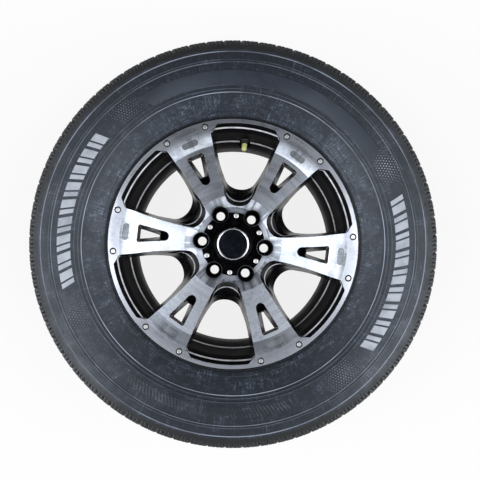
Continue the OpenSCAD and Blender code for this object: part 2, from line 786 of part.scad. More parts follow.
module valve_tube() {
    color("#b8943c") at_valve() difference() {
        turn_ring([[0, tube_low], [tube_d / 2, tube_low], [tube_d / 2, tube_top - 0.5],
            [tube_d / 2 - 0.5, tube_top], [0, tube_top]]);
        translate([0, 0, tube_low - 1]) cylinder(d = tube_bore, h = tube_top - tube_low + 2);
    }
}

// Core housing, with a chamber for the spring and a guide for the pin at each end
module valve_core() {
    color("#c9a545") at_valve() difference() {
        turn_ring([[0, core_low], [core_d / 2 - 0.4, core_low], [core_d / 2, core_low + 1.5],
            [core_d / 2, core_top - 4.5], [tube_bore / 2, core_top - 4.2], [tube_bore / 2, core_top],
            [0, core_top]]);
        translate([0, 0, core_low - 1]) cylinder(d = pin_bore, h = core_l + 2);
        translate([0, 0, core_low + chamber_z]) cylinder(d = chamber_d, h = chamber_l);
    }
}

// Spring in the core, drawn at its pressed length so that the collar's travel above it stays clear
module core_spring() {
    color("#a9adb3") at_valve()
        helix(spring_wire, (pin_bore + chamber_d) / 4, core_low + chamber_z + spring_wire / 2,
            collar_z - pin_travel - seat_gap - spring_wire / 2, spring_turns);
}

module core_pin() {
    color("#c9a545") at_valve() turn_ring([
        [0, core_low - 3], [pin_d, core_low - 3], [pin_d, core_low - 1.9], [pin_d / 2, core_low - 1.2],
        [pin_d / 2, collar_z], [chamber_d / 2 - 0.25, collar_z], [chamber_d / 2 - 0.25, collar_z + collar_h],
        [pin_d / 2, collar_z + collar_h], [pin_d / 2, pin_top], [0, pin_top]]);
}

module valve_cap() {
    wall = valve_cap_d / 2;
    low = valve_out - valve_cap_l;
    grips = 12;
    color("#cdd36a") at_valve() difference() {
        turn_ring([[0, low], [wall, low], [wall, valve_out - 2.4], [wall - 1.1, valve_out - 0.5],
            [wall - 2, valve_out], [0, valve_out]]);
        translate([0, 0, low - 1]) cylinder(d = tube_d + 2 * run_gap, h = valve_cap_l - 0.2);
        for (i = [0 : grips - 1]) rotate([0, 0, i * 360 / grips])
            translate([wall + 0.15, 0, low - 1]) cylinder(d = 0.9, h = valve_cap_l - 2.5);
    }
}

tyre();
wheel();
centre_cap();
cap_emblem();
cap_ring();
valve_stem();
valve_tube();
valve_core();
core_spring();
core_pin();
valve_cap();
for (i = [1 : spoke_count])
    cap_screw(i);
for (i = [1 : 2 * spoke_count])
    rim_bolt(i);
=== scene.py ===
"""Dresses a packed car wheel: moulded rubber, turned alloy, gloss paint, plated screws, a pale studio."""

import logging
import math
from dataclasses import dataclass, field
from enum import Enum
from typing import Any, Callable, NamedTuple, Sequence

import bmesh
import bpy
from mathutils import Matrix, Vector


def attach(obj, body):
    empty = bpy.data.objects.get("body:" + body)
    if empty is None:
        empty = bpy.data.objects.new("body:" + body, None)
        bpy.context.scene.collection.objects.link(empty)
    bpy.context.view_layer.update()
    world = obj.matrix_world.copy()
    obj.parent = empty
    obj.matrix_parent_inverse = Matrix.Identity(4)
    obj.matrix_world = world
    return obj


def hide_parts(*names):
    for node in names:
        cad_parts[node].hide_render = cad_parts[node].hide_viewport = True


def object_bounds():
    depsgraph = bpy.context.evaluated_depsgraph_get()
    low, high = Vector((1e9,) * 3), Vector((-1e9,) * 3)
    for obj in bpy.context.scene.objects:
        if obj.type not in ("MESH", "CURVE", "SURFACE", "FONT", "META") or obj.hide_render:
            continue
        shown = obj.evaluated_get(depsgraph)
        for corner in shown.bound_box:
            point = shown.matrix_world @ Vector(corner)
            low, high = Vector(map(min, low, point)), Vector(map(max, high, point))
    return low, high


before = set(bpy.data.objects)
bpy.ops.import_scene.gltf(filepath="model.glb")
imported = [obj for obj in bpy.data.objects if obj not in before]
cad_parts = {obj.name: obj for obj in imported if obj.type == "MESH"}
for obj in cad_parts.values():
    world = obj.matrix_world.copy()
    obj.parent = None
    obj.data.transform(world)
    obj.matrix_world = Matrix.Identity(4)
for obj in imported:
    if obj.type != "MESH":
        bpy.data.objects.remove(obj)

MM = 0.001
CAD_BOX = [list(corner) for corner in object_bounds()]
LOG = logging.getLogger("wheel")
Point = tuple[float, float]
Mesh = bmesh.types.BMesh
Thing = bpy.types.Object
Colour = tuple[float, float, float, float]
Socket = bpy.types.NodeSocket
Feed = Socket | float | tuple[float, ...]


class Side(Enum):
    """The two sides of the wheel, as signs along its axis."""

    FRONT = 1
    REAR = -1


class Mould(Enum):
    """Compounds that a moulded tyre shows."""

    TREAD = "tread"
    SIDEWALL = "sidewall"
    PANEL = "panel"
    STUD = "stud"
    WHITE = "white"


# Shader graphs


class Noise(NamedTuple):
    """A cloud noise: its scale, detail and roughness."""

    scale: float
    detail: float = 3.0
    rough: float = 0.5


class Drawn(NamedTuple):
    """A noise drawn out on a round piece: its scale round the axis and along the radius, and its detail."""

    around: float
    along: float
    detail: float = 2.0


class Step(NamedTuple):
    """A smooth step: the values between which it runs, and what it gives at each."""

    low: float
    high: float
    start: float = 0.0
    end: float = 1.0


class Relief(NamedTuple):
    """A bump: its depth in metres and its strength."""

    depth: float
    strength: float


class Graph:
    """A node tree, with one short call for each kind of node that the finishes use."""

    def __init__(self, tree: bpy.types.NodeTree) -> None:
        """Empties a node tree and keeps it."""
        self.tree = tree
        self.tree.nodes.clear()

    @classmethod
    def on(cls, owner: bpy.types.Material | bpy.types.World) -> "Graph":
        """A graph on a material's or a world's own tree."""
        owner.use_nodes = True
        return cls(owner.node_tree)

    def feed(self, socket: Socket, value: Feed | None) -> None:
        """Links a socket to another, or sets its plain value."""
        if isinstance(value, bpy.types.NodeSocket):
            self.tree.links.new(value, socket)
        elif value is not None:
            socket.default_value = value

    def add(self, kind: str, inputs: dict[Any, Feed] | None = None, **settings: Any) -> bpy.types.Node:
        """Adds a node.

        Args:
            kind: the node's type.
            inputs: values or sockets, by the input's name or number.
            **settings: the node's own properties.

        Returns:
            The new node.
        """
        node = self.tree.nodes.new(kind)
        for key, value in settings.items():
            setattr(node, key, value)
        for key, value in (inputs or {}).items():
            self.feed(node.inputs[key], value)
        return node

    def math(self, operation: str, *values: Feed) -> Socket:
        """The result of a math node on the values."""
        return self.add("ShaderNodeMath", dict(enumerate(values)), operation=operation).outputs[0]

    def product(self, first: Feed, *others: Feed) -> Feed:
        """The product of some values."""
        for other in others:
            first = self.math("MULTIPLY", first, other)
        return first

    def ramp(self, value: Feed, low: float, high: float, start: float = 0.0, end: float = 1.0) -> Socket:
        """A smooth step of value, from start at low to end at high."""
        inputs = {0: value, 1: low, 2: high, 3: start, 4: end}
        return self.add("ShaderNodeMapRange", inputs, interpolation_type="SMOOTHSTEP").outputs[0]

    def band(self, value: Feed, low: float, high: float, soft: float) -> Feed:
        """One where value lies between low and high, falling off over the soft width."""
        return self.product(self.ramp(value, low - soft, low), self.ramp(value, high, high + soft, 1.0, 0.0))

    def mix(self, share: Feed, first: Feed, second: Feed) -> Socket:
        """A colour between first and second."""
        return self.add("ShaderNodeMix", {0: share, 6: first, 7: second}, data_type="RGBA").outputs[2]

    def blend(self, share: Feed, first: Feed, second: Feed) -> Socket:
        """A number between first and second."""
        return self.add("ShaderNodeMix", {0: share, 2: first, 3: second}, data_type="FLOAT").outputs[0]

    def vector(self, operation: str, inputs: dict[Any, Feed], output: int = 0) -> Socket:
        """One output of a vector math node."""
        return self.add("ShaderNodeVectorMath", inputs, operation=operation).outputs[output]

    def parts(self, vector: Feed) -> Any:
        """The three parts of a vector."""
        return self.add("ShaderNodeSeparateXYZ", {0: vector}).outputs

    def point(self) -> Socket:
        """The point's own coordinates on the object, in metres."""
        return self.add("ShaderNodeTexCoord").outputs["Object"]

    def place(self) -> tuple[Socket, Socket, Socket]:
        """Radius from the axis, height along it, and the unit direction from the axis."""
        parts = self.parts(self.point())
        flat = self.add("ShaderNodeCombineXYZ", {0: parts[0], 1: parts[1]}).outputs[0]
        return self.vector("LENGTH", {0: flat}, 1), parts[2], self.vector("NORMALIZE", {0: flat})

    def from_circle(self, radius: float, count: int) -> Socket:
        """Distance from the nearest of some points, spread evenly on a circle from angle zero."""
        parts = self.parts(self.point())
        fold = self.math("PINGPONG", self.math("ARCTAN2", parts[1], parts[0]), math.pi / count)
        reach = self.place()[0]
        away = self.math("SUBTRACT", self.product(reach, self.math("COSINE", fold)), radius)
        aside = self.product(reach, self.math("SINE", fold))
        return self.math("SQRT", self.math("ADD", self.product(away, away), self.product(aside, aside)))

    def noise(self, kind: Noise, vector: Feed | None = None) -> Socket:
        """A noise from 0 to 1, on the object's own coordinates unless a vector is given."""
        inputs = {"Scale": kind.scale, "Detail": kind.detail, "Roughness": kind.rough}
        node = self.add("ShaderNodeTexNoise", inputs)
        self.feed(node.inputs["Vector"], self.point() if vector is None else vector)
        return node.outputs[0]

    def drawn(self, kind: Drawn, reach: Socket) -> Socket:
        """Noise on the direction from the axis and on a reach, each with its own scale."""
        turn = self.parts(self.vector("SCALE", {0: self.place()[2], "Scale": kind.around}))
        inputs = {0: turn[0], 1: turn[1], 2: self.product(reach, kind.along)}
        return self.noise(Noise(1.0, kind.detail), self.add("ShaderNodeCombineXYZ", inputs).outputs[0])

    def rings(self, kind: Drawn) -> Socket:
        """Noise drawn out into rings round the axis, as a lathe tool leaves them."""
        return self.drawn(kind, self.place()[0])

    def rays(self, kind: Drawn) -> Socket:
        """Noise drawn out along the radii, as wiping or moulding leaves it."""
        radius, height, _ = self.place()
        return self.drawn(kind, self.math("ADD", radius, height))

    def bump(self, height: Feed, relief: Relief, normal: Feed | None = None) -> Socket:
        """A bumped normal."""
        inputs = {"Height": height, "Distance": relief.depth, "Strength": relief.strength, "Normal": normal}
        return self.add("ShaderNodeBump", inputs).outputs[0]

    def edge(self, radius: float) -> Socket:
        """A normal that rounds the edges over a radius."""
        return self.add("ShaderNodeBevel", {"Radius": radius}, samples=4).outputs[0]

    def tangent(self) -> Socket:
        """The tangent round the wheel's axis, which spreads a highlight as turning marks do."""
        return self.add("ShaderNodeTangent", direction_type="RADIAL", axis="Z").outputs[0]


def finish(name: str, draw: Callable[[Graph], dict[str, Feed]]) -> bpy.types.Material:
    """Makes a material that ends in one Principled shader.

    Args:
        name: the material's name.
        draw: builds the graph and returns the shader's inputs, by name.

    Returns:
        The finished material.
    """
    material = bpy.data.materials.new(name)
    graph = Graph.on(material)
    shader = graph.add("ShaderNodeBsdfPrincipled", draw(graph))
    graph.add("ShaderNodeOutputMaterial", {0: shader.outputs[0]})
    return material


# Finishes


@dataclass(frozen=True)
class TyreRubber:
    """Cured rubber: bluish sidewalls with wiped patches, painted highlights on the moulded rings, painted
    shade beside them, in the groove floors, along the panel's edges and at the flange, browner tread, fine
    mould texture.

    Crests are painted highlight lines on the moulded rings, as middle, half width and share. Hollows are
    bands of painted shade beside the rings, as inner radius, outer radius and share. Both are in millimetres.
    """

    sidewall: Colour = (0.003, 0.005, 0.010, 1.0)
    wiped: Colour = (0.280, 0.352, 0.490, 1.0)
    panel: Colour = (0.018, 0.024, 0.038, 1.0)
    stud: Colour = (0.50, 0.54, 0.61, 1.0)
    # Painted highlight on the crests of the moulded rings.
    crest_highlight: Colour = (0.30, 0.34, 0.42, 1.0)
    # Painted shade: the near-black used for the shadow at the flange, in the groove floors and along the
    # panel's edges.
    painted_shade: Colour = (0.002, 0.002, 0.003, 1.0)
    tread: Colour = (0.007, 0.006, 0.004, 1.0)
    white: Colour = (0.43, 0.47, 0.54, 1.0)
    tint: Colour = (0.80, 0.88, 1.0, 1.0)
    shine: float = 0.9
    spread: float = 0.85
    gloss_turn: float = 0.25
    rough: Step = Step(0.3, 0.7, 0.58, 0.44)
    # Painted highlight lines on the moulded rings.
    crests: tuple[tuple[float, float, float], ...] = (
        (263.0, 0.4, 1.0), (268.4, 0.3, 0.2), (275.0, 0.3, 0.15), (316.4, 0.4, 0.5), (321.1, 0.3, 0.2),
        (337.6, 0.6, 0.8))
    # Bands of painted shade beside the moulded rings.
    shaded_hollows: tuple[tuple[float, float, float], ...] = (
        (256.0, 261.0, 0.45), (265.0, 266.8, 0.5), (270.5, 273.0, 0.5), (305.0, 314.0, 0.25),
        (323.5, 334.0, 0.4))
    crest_soft: float = 0.6 * MM
    shaded_hollow_soft: float = 2.5 * MM
    # Band of the panel outside which its edges get painted shade.
    panel_unshaded: tuple[float, float, float] = (275.2 * MM, 300.4 * MM, 0.5 * MM)
    white_shade: Step = Step(0.35, 0.75, 0.0, 0.45)
    stud_shade: Step = Step(0.35, 0.75, 0.0, 0.7)
    panel_shade: Step = Step(0.35, 0.75, 0.0, 0.6)
    from_tread: Step = Step(341 * MM, 346 * MM)
    # Painted shade on the groove floors beyond this radius.
    to_groove_shade: Step = Step(351 * MM, 352.5 * MM)
    # Painted shadow at the flange: rubber inside this radius turns near black.
    to_flange_shadow: Step = Step(223.5 * MM, 226 * MM, 1.0, 0.0)
    to_rim: Step = Step(228 * MM, 272 * MM, 1.0, 0.5)
    cloud: Noise = Noise(30.0, 5.0, 0.6)
    grain: Noise = Noise(900.0, 2.0)
    grain_relief: Relief = Relief(0.25 * MM, 0.5)
    pebble: Noise = Noise(380.0, 2.0)
    pebble_relief: Relief = Relief(0.5 * MM, 0.6)
    turning: Drawn = Drawn(2.0, 900.0)
    turning_relief: Relief = Relief(0.3 * MM, 0.35)
    cloud_step: Step = Step(0.3, 0.7, 0.25, 1.0)
    streak: Drawn = Drawn(16.0, 240.0, 3.0)
    streak_step: Step = Step(0.4, 0.7, 0.25, 1.0)
    patch: Noise = Noise(120.0)
    patch_step: Step = Step(0.34, 0.66, 0.4, 1.0)
    fleck: Noise = Noise(420.0, 2.0)
    fleck_step: Step = Step(0.42, 0.7, 0.08, 1.0)
    scuff: Drawn = Drawn(150.0, 40.0, 3.0)
    scuff_step: Step = Step(0.4, 0.66, 0.3, 1.0)
    hair: Drawn = Drawn(210.0, 26.0, 1.0)
    hair_step: Step = Step(0.6, 0.72)
    hair_where: Step = Step(0.42, 0.6)
    hair_share: float = 0.3
    # Noise that breaks up the painted crest highlights.
    crest_highlight_break: Noise = Noise(9.0)
    crest_highlight_break_step: Step = Step(0.36, 0.62, 0.3, 1.0)

    def material(self, compound: Mould) -> bpy.types.Material:
        """The material of one compound."""
        return finish(f"{compound.value}_rubber", lambda graph: self.draw(graph, compound))

    def draw(self, graph: Graph, compound: Mould) -> dict[str, Feed]:
        """Draws one compound's colour and texture."""
        cloud = graph.noise(self.cloud)
        normal = graph.bump(graph.noise(self.grain), self.grain_relief)
        normal = graph.bump(graph.noise(self.pebble), self.pebble_relief, normal)
        normal = graph.bump(graph.rings(self.turning), self.turning_relief, normal)
        return {
            "Base Color": self.colour(graph, compound, cloud), "Roughness": graph.ramp(cloud, *self.rough),
            "Normal": normal, "Specular IOR Level": self.shine, "Specular Tint": self.tint,
            "Anisotropic": self.spread, "Anisotropic Rotation": self.gloss_turn, "Tangent": graph.tangent(),
        }

    def colour(self, graph: Graph, compound: Mould, cloud: Socket) -> Socket:
        """Colour of one compound.

        Args:
            graph: the material's graph.
            compound: which rubber.
            cloud: broad noise that sets the patches.

        Returns:
            The colour.
        """
        radius = graph.place()[0]
        plain = {Mould.WHITE: (self.white, self.white_shade), Mould.STUD: (self.stud, self.stud_shade),
                 Mould.PANEL: (self.panel, self.panel_shade)}
        if compound in plain:
            tone, shade_step = plain[compound]
            colour = graph.mix(graph.ramp(cloud, *shade_step), tone, self.sidewall)
            if compound is Mould.PANEL:
                # Painted shade along the panel's inner and outer edges.
                colour = graph.mix(graph.band(radius, *self.panel_unshaded), self.painted_shade, colour)
            return colour
        colour = self.moulded(graph, radius, cloud)
        if compound is Mould.SIDEWALL:
            # Painted shade on the casing floor between the tread blocks.
            colour = graph.mix(graph.ramp(radius, *self.to_groove_shade), colour, self.painted_shade)
        return colour

    def moulded(self, graph: Graph, radius: Socket, cloud: Socket) -> Socket:
        """Colour of the moulded rubber, from the painted shadow at the rim out to the tread.

        Args:
            graph: the material's graph.
            radius: distance from the axis.
            cloud: broad noise that sets the wiped patches.

        Returns:
            The colour.
        """
        wear = ((cloud, self.cloud_step), (graph.rings(self.streak), self.streak_step),
                (graph.noise(self.patch), self.patch_step), (graph.noise(self.fleck), self.fleck_step),
                (graph.rays(self.scuff), self.scuff_step))
        wiped = graph.product(*(graph.ramp(value, *step) for value, step in wear))
        # Painted shade: darker bands beside the moulded rings.
        for low, high, share in self.shaded_hollows:
            hollow_shade = graph.product(graph.band(radius, low * MM, high * MM, self.shaded_hollow_soft), share)
            wiped = graph.product(wiped, graph.math("SUBTRACT", 1.0, hollow_shade))
        hair = graph.product(graph.ramp(graph.rays(self.hair), *self.hair_step),
                             graph.ramp(cloud, *self.hair_where), self.hair_share)
        wiped = graph.product(graph.math("ADD", wiped, hair), graph.ramp(radius, *self.to_rim))
        colour = graph.mix(wiped, self.sidewall, self.wiped)
        # Painted highlights: lighter lines on the crests of the moulded rings, broken up by noise.
        crest: Feed = 0.0
        for at, half, share in self.crests:
            line = graph.band(radius, (at - half) * MM, (at + half) * MM, self.crest_soft)
            crest = graph.math("MAXIMUM", crest, graph.product(line, share))
        crest_highlight_share = graph.product(crest, graph.ramp(graph.noise(self.crest_highlight_break), *self.crest_highlight_break_step))
        colour = graph.mix(crest_highlight_share, colour, self.crest_highlight)
        colour = graph.mix(graph.ramp(radius, *self.from_tread), colour, self.tread)
        # Painted shadow: the rubber next to the flange is turned near black.
        return graph.mix(graph.ramp(radius, *self.to_flange_shadow), colour, self.painted_shade)


@dataclass(frozen=True)
class TurnedAlloy:
    """Aluminium turned bright on a lathe and clear coated, with fine rings, stains, worn streaks, a painted
    reflection fan on the cone and painted dark reflections beside the lug pockets.
    """

    name: str = "turned_alloy"
    alloy: Colour = (0.70, 0.76, 0.87, 1.0)
    stained: Colour = (0.33, 0.38, 0.48, 1.0)
    roughness: float = 0.3
    # Tone of the worn streaks, and of the painted reflection fan on the cone.
    streaked: Colour = (0.16, 0.18, 0.22, 1.0)
    # Painted dark reflection beside the lug pockets.
    pocket_reflection_tone: Colour = (0.06, 0.07, 0.085, 1.0)
    black: Colour = (0.003, 0.003, 0.004, 1.0)
    pad: Colour = (0.44, 0.46, 0.53, 1.0)
    lugs: int = 6
    lug_circle: float = 57.15 * MM
    recess_circle: float = 190 * MM
    edge_radius: float = 0.2 * MM
    spread: float = 0.75
    gloss_turn: float = 0.25
    cloud: Noise = Noise(26.0, 6.0, 0.65)
    cloud_step: Step = Step(0.4, 0.75)
    fleck: Noise = Noise(210.0, 4.0, 0.7)
    fleck_step: Step = Step(0.34, 0.66, 0.2, 1.0)
    lathe: Drawn = Drawn(3.0, 1500.0, 1.0)
    lathe_step: Step = Step(0.25, 0.75, 0.16, 0.0)
    broad: Drawn = Drawn(2.0, 160.0)
    from_pad: Step = Step(200.6 * MM, 202.1 * MM, 0.0, 0.5)
    # Band of the cone round the hub where a painted reflection fan is drawn.
    cone: tuple[float, float, float] = (64 * MM, 85 * MM, 0.6 * MM)
    cone_streak: Drawn = Drawn(9.0, 3.0, 3.0)
    cone_step: Step = Step(0.42, 0.58, 0.0, 0.8)
    worn_band: tuple[float, float, float] = (182 * MM, 199 * MM, 2 * MM)
    worn_reach: Step = Step(8 * MM, 34 * MM, 0.6, 0.0)
    worn_streak: Drawn = Drawn(22.0, 8.0, 3.0)
    worn_step: Step = Step(0.36, 0.6, 0.2, 1.0)
    # Painted dark reflections beside the lug pockets, by distance from the pocket and by the cloud.
    pocket_reflection_reach: Step = Step(14.2 * MM, 22 * MM, 0.8, 0.0)
    pocket_reflection_step: Step = Step(0.3, 0.65, 0.6, 1.0)
    paint_reach: Step = Step(14.2 * MM, 14.7 * MM, 1.0, 0.0)
    rough_reach: float = 0.05
    rough_rings: Step = Step(0.3, 0.7, -0.02, 0.05)
    lathe_relief: Relief = Relief(0.05 * MM, 0.4)
    coat: float = 0.5
    coat_roughness: float = 0.04

    def material(self) -> bpy.types.Material:
        """The turned face's material."""
        return finish(self.name, self.draw)

    def draw(self, graph: Graph) -> dict[str, Feed]:
        """Draws the turned face."""
        cloud = graph.noise(self.cloud)
        lathe = graph.rings(self.lathe)
        broad = graph.rings(self.broad)
        low, high = self.roughness - self.rough_reach, self.roughness + self.rough_reach
        clouded = graph.ramp(cloud, 0.3, 0.7, low, high)
        rough = graph.math("ADD", clouded, graph.ramp(broad, *self.rough_rings))
        edge = graph.edge(self.edge_radius)
        return {
            "Base Color": self.colour(graph, cloud, lathe), "Metallic": 1.0, "Roughness": rough,
            "Normal": graph.bump(graph.math("ADD", lathe, broad), self.lathe_relief, edge),
            "Anisotropic": self.spread, "Anisotropic Rotation": self.gloss_turn, "Tangent": graph.tangent(),
            "Coat Weight": self.coat, "Coat Roughness": self.coat_roughness, "Coat Normal": edge,
        }

    def colour(self, graph: Graph, cloud: Socket, lathe: Socket) -> Socket:
        """Colour of the metal, with its stains, the paint at the lug pockets' rims, a painted reflection fan
        on the cone and painted dark reflections beside the pockets.

        Args:
            graph: the material's graph.
            cloud: broad noise that sets the stains.
            lathe: fine rings of the tool.

        Returns:
            The colour.
        """
        radius = graph.place()[0]
        lug = graph.from_circle(self.lug_circle, self.lugs)
        recess = graph.from_circle(self.recess_circle, self.lugs)
        stain = graph.product(graph.ramp(cloud, *self.cloud_step),
                              graph.ramp(graph.noise(self.fleck), *self.fleck_step))
        # Painted reflection: dark radial streaks on the cone round the hub.
        cone_reflection = graph.product(graph.band(radius, *self.cone),
                              graph.ramp(graph.rays(self.cone_streak), *self.cone_step))
        worn = graph.product(graph.ramp(recess, *self.worn_reach), graph.band(radius, *self.worn_band),
                             graph.ramp(graph.rays(self.worn_streak), *self.worn_step))
        # Painted reflection: dark smudges beside each lug pocket, broken up by the cloud.
        pocket_reflection = graph.product(graph.ramp(lug, *self.pocket_reflection_reach), graph.ramp(cloud, *self.pocket_reflection_step))
        layers = ((stain, self.stained), (graph.ramp(lathe, *self.lathe_step), self.stained),
                  (graph.ramp(radius, *self.from_pad), self.pad), (cone_reflection, self.streaked),
                  (worn, self.streaked), (pocket_reflection, self.pocket_reflection_tone),
                  (graph.ramp(lug, *self.paint_reach), self.black))
        metal: Feed = self.alloy
        for share, tone in layers:
            metal = graph.mix(share, metal, tone)
        return metal


@dataclass(frozen=True)
class CastPaint:
    """Paint on cast metal, with a slight orange peel, dust, and painted highlight lines on its steps.

    Steps are the bands of painted highlight, as their lowest and highest point and their inner and outer
    radius, in millimetres.
    """

    name: str
    roughness: float
    coat: float
    shine: float
    # Steps hold the bands of painted highlight.
    steps: tuple[tuple[float, float, float, float], ...]
    # Colour of the painted highlight lines.
    highlight_colour: Colour = (0.62, 0.64, 0.68, 1.0)
    colour: Colour = (0.002, 0.002, 0.003, 1.0)
    dust: Colour = (0.005, 0.005, 0.006, 1.0)
    edge_radius: float = 0.7 * MM
    highlight_soft: float = 0.7 * MM
    reach_soft: float = 4 * MM
    coat_roughness: float = 0.04
    cloud: Noise = Noise(60.0, 5.0, 0.6)
    dust_step: Step = Step(0.4, 0.8)
    # Noise step that breaks up the painted highlight lines.
    line_highlight_break: Step = Step(0.3, 0.6, 0.6, 1.0)
    peel: Noise = Noise(240.0, 1.0)
    peel_relief: Relief = Relief(0.15 * MM, 0.3)

    def material(self) -> bpy.types.Material:
        """The paint's material."""
        return finish(self.name, self.draw)

    def draw(self, graph: Graph) -> dict[str, Feed]:
        """Draws the paint."""
        cloud = graph.noise(self.cloud)
        radius, height, _ = graph.place()
        colour = graph.mix(graph.ramp(cloud, *self.dust_step), self.colour, self.dust)
        # Painted highlights: lighter lines along the steps of the casting, broken up by the cloud.
        for low, high, inner, outer in self.steps:
            line_highlight = graph.product(graph.band(height, low * MM, high * MM, self.highlight_soft),
                                graph.band(radius, inner * MM, outer * MM, self.reach_soft),
                                graph.ramp(cloud, *self.line_highlight_break))
            colour = graph.mix(line_highlight, colour, self.highlight_colour)
        return {
            "Base Color": colour, "Specular IOR Level": self.shine,
            "Coat Weight": self.coat, "Coat Roughness": self.coat_roughness,
            "Roughness": graph.ramp(cloud, 0.3, 0.7, self.roughness - 0.04, self.roughness + 0.08),
            "Normal": graph.bump(graph.noise(self.peel), self.peel_relief, graph.edge(self.edge_radius)),
        }


@dataclass(frozen=True)
class GlossPlastic:
    """Moulded plastic with a slight orange peel and dust in its hollows."""

    name: str = "gloss_plastic"
    colour: Colour = (0.0008, 0.0008, 0.0012, 1.0)
    worn: Colour = (0.003, 0.003, 0.0035, 1.0)
    roughness: float = 0.12
    coat: float = 0.0
    shine: float = 0.04
    edge_radius: float = 0.4 * MM
    coat_roughness: float = 0.08
    cloud: Noise = Noise(90.0, 4.0)
    worn_step: Step = Step(0.35, 0.75)
    peel: Noise = Noise(420.0, 1.0)
    peel_relief: Relief = Relief(0.12 * MM, 0.25)

    def material(self) -> bpy.types.Material:
        """The plastic's material."""
        return finish(self.name, self.draw)

    def draw(self, graph: Graph) -> dict[str, Feed]:
        """Draws the plastic."""
        cloud = graph.noise(self.cloud)
        return {
            "Base Color": graph.mix(graph.ramp(cloud, *self.worn_step), self.colour, self.worn),
            "Roughness": graph.ramp(cloud, 0.3, 0.7, self.roughness, self.roughness + 0.12),
            "Normal": graph.bump(graph.noise(self.peel), self.peel_relief, graph.edge(self.edge_radius)),
            "Coat Weight": self.coat, "Coat Roughness": self.coat_roughness, "Specular IOR Level": self.shine,
        }


@dataclass(frozen=True)
class BrightMetal:
    """Plated, turned or wire-drawn metal, with its tool marks and smudges."""

    name: str
    colour: Colour
    dull: Colour
    roughness: float
    edge_radius: float = 0.3 * MM
    smudge: Noise = Noise(150.0, 4.0)
    smudge_step: Step = Step(0.45, 0.8, 0.0, 0.8)
    grain: Noise = Noise(1200.0, 2.0)
    grain_relief: Relief = Relief(0.03 * MM, 0.4)

    def material(self) -> bpy.types.Material:
        """The metal's material."""
        return finish(self.name, self.draw)

    def draw(self, graph: Graph) -> dict[str, Feed]:
        """Draws the metal."""
        smudge = graph.noise(self.smudge)
        edge = graph.edge(self.edge_radius)
        return {
            "Base Color": graph.mix(graph.ramp(smudge, *self.smudge_step), self.colour, self.dull),
            "Metallic": 1.0,
            "Roughness": graph.ramp(smudge, 0.3, 0.75, self.roughness, self.roughness + 0.14),
            "Normal": graph.bump(graph.noise(self.grain), self.grain_relief, edge),
        }


@dataclass(frozen=True)
class SoftPolymer:
    """Matt plastic or moulded rubber of a small part."""

    name: str
    colour: Colour
    shade: Colour
    roughness: float
    cloud: Noise = Noise(300.0)
    shade_step: Step = Step(0.35, 0.7)
    grain: Noise = Noise(2600.0, 1.0)
    grain_relief: Relief = Relief(0.08 * MM, 0.4)

    def material(self) -> bpy.types.Material:
        """The polymer's material."""
        return finish(self.name, self.draw)

    def draw(self, graph: Graph) -> dict[str, Feed]:
        """Draws the polymer."""
        cloud = graph.noise(self.cloud)
        return {
            "Base Color": graph.mix(graph.ramp(cloud, *self.shade_step), self.colour, self.shade),
            "Roughness": self.roughness, "Normal": graph.bump(graph.noise(self.grain), self.grain_relief),
        }


# Mesh helpers


def place(radius: float, angle: float, height: float) -> Vector:
    """The point at a radius, an angle in degrees and a height along the axis, all in millimetres."""
    turn = math.radians(angle)
    return Vector((radius * math.cos(turn), radius * math.sin(turn), height)) * MM


def new_piece(name: str, mesh: Mesh, material: bpy.types.Material | None = None) -> Thing:
    """Turns a finished bmesh into a linked object at the origin.

    Args:
        name: the piece's name.
        mesh: its geometry, which is freed.
        material: its material, if it has one already.

    Returns:
        The new object.
    """
    data = bpy.data.meshes.new(name)
    mesh.to_mesh(data)
    mesh.free()
    if material is not None:
        data.materials.append(material)
    piece = bpy.data.objects.new(name, data)
    bpy.context.scene.collection.objects.link(piece)
    return piece


def new_solid(name: str, mesh: Mesh, material: bpy.types.Material | None = None) -> Thing:
    """The same for closed shells, whose faces are first turned outwards."""
    bmesh.ops.recalc_face_normals(mesh, faces=mesh.faces)
    return new_piece(name, mesh, material)


def new_marks(name: str, marks: Sequence[tuple[Vector, float, Vector]]) -> Thing:
    """Loose points with a size and an aim each, on which a unit is copied.

    Args:
        name: the piece's name.
        marks: place, size and aim of each point.

    Returns:
        The new object.
    """
    mesh = bmesh.new()
    for at, _, _ in marks:
        mesh.verts.new(at)
    piece = new_piece(name, mesh)
    sizes = [size for _, size, _ in marks]
    aims = [value for _, _, aim in marks for value in aim]
    piece.data.attributes.new("size", "FLOAT", "POINT").data.foreach_set("value", sizes)
    piece.data.attributes.new("aim", "FLOAT_VECTOR", "POINT").data.foreach_set("vector", aims)
    return piece


def shade(piece: Thing, angle: float) -> None:
    """Shades a piece smooth, apart from edges sharper than an angle in degrees."""
    piece.data.polygons.foreach_set("use_smooth", [True] * len(piece.data.polygons))
    piece.data.set_sharp_from_angle(angle=math.radians(angle))


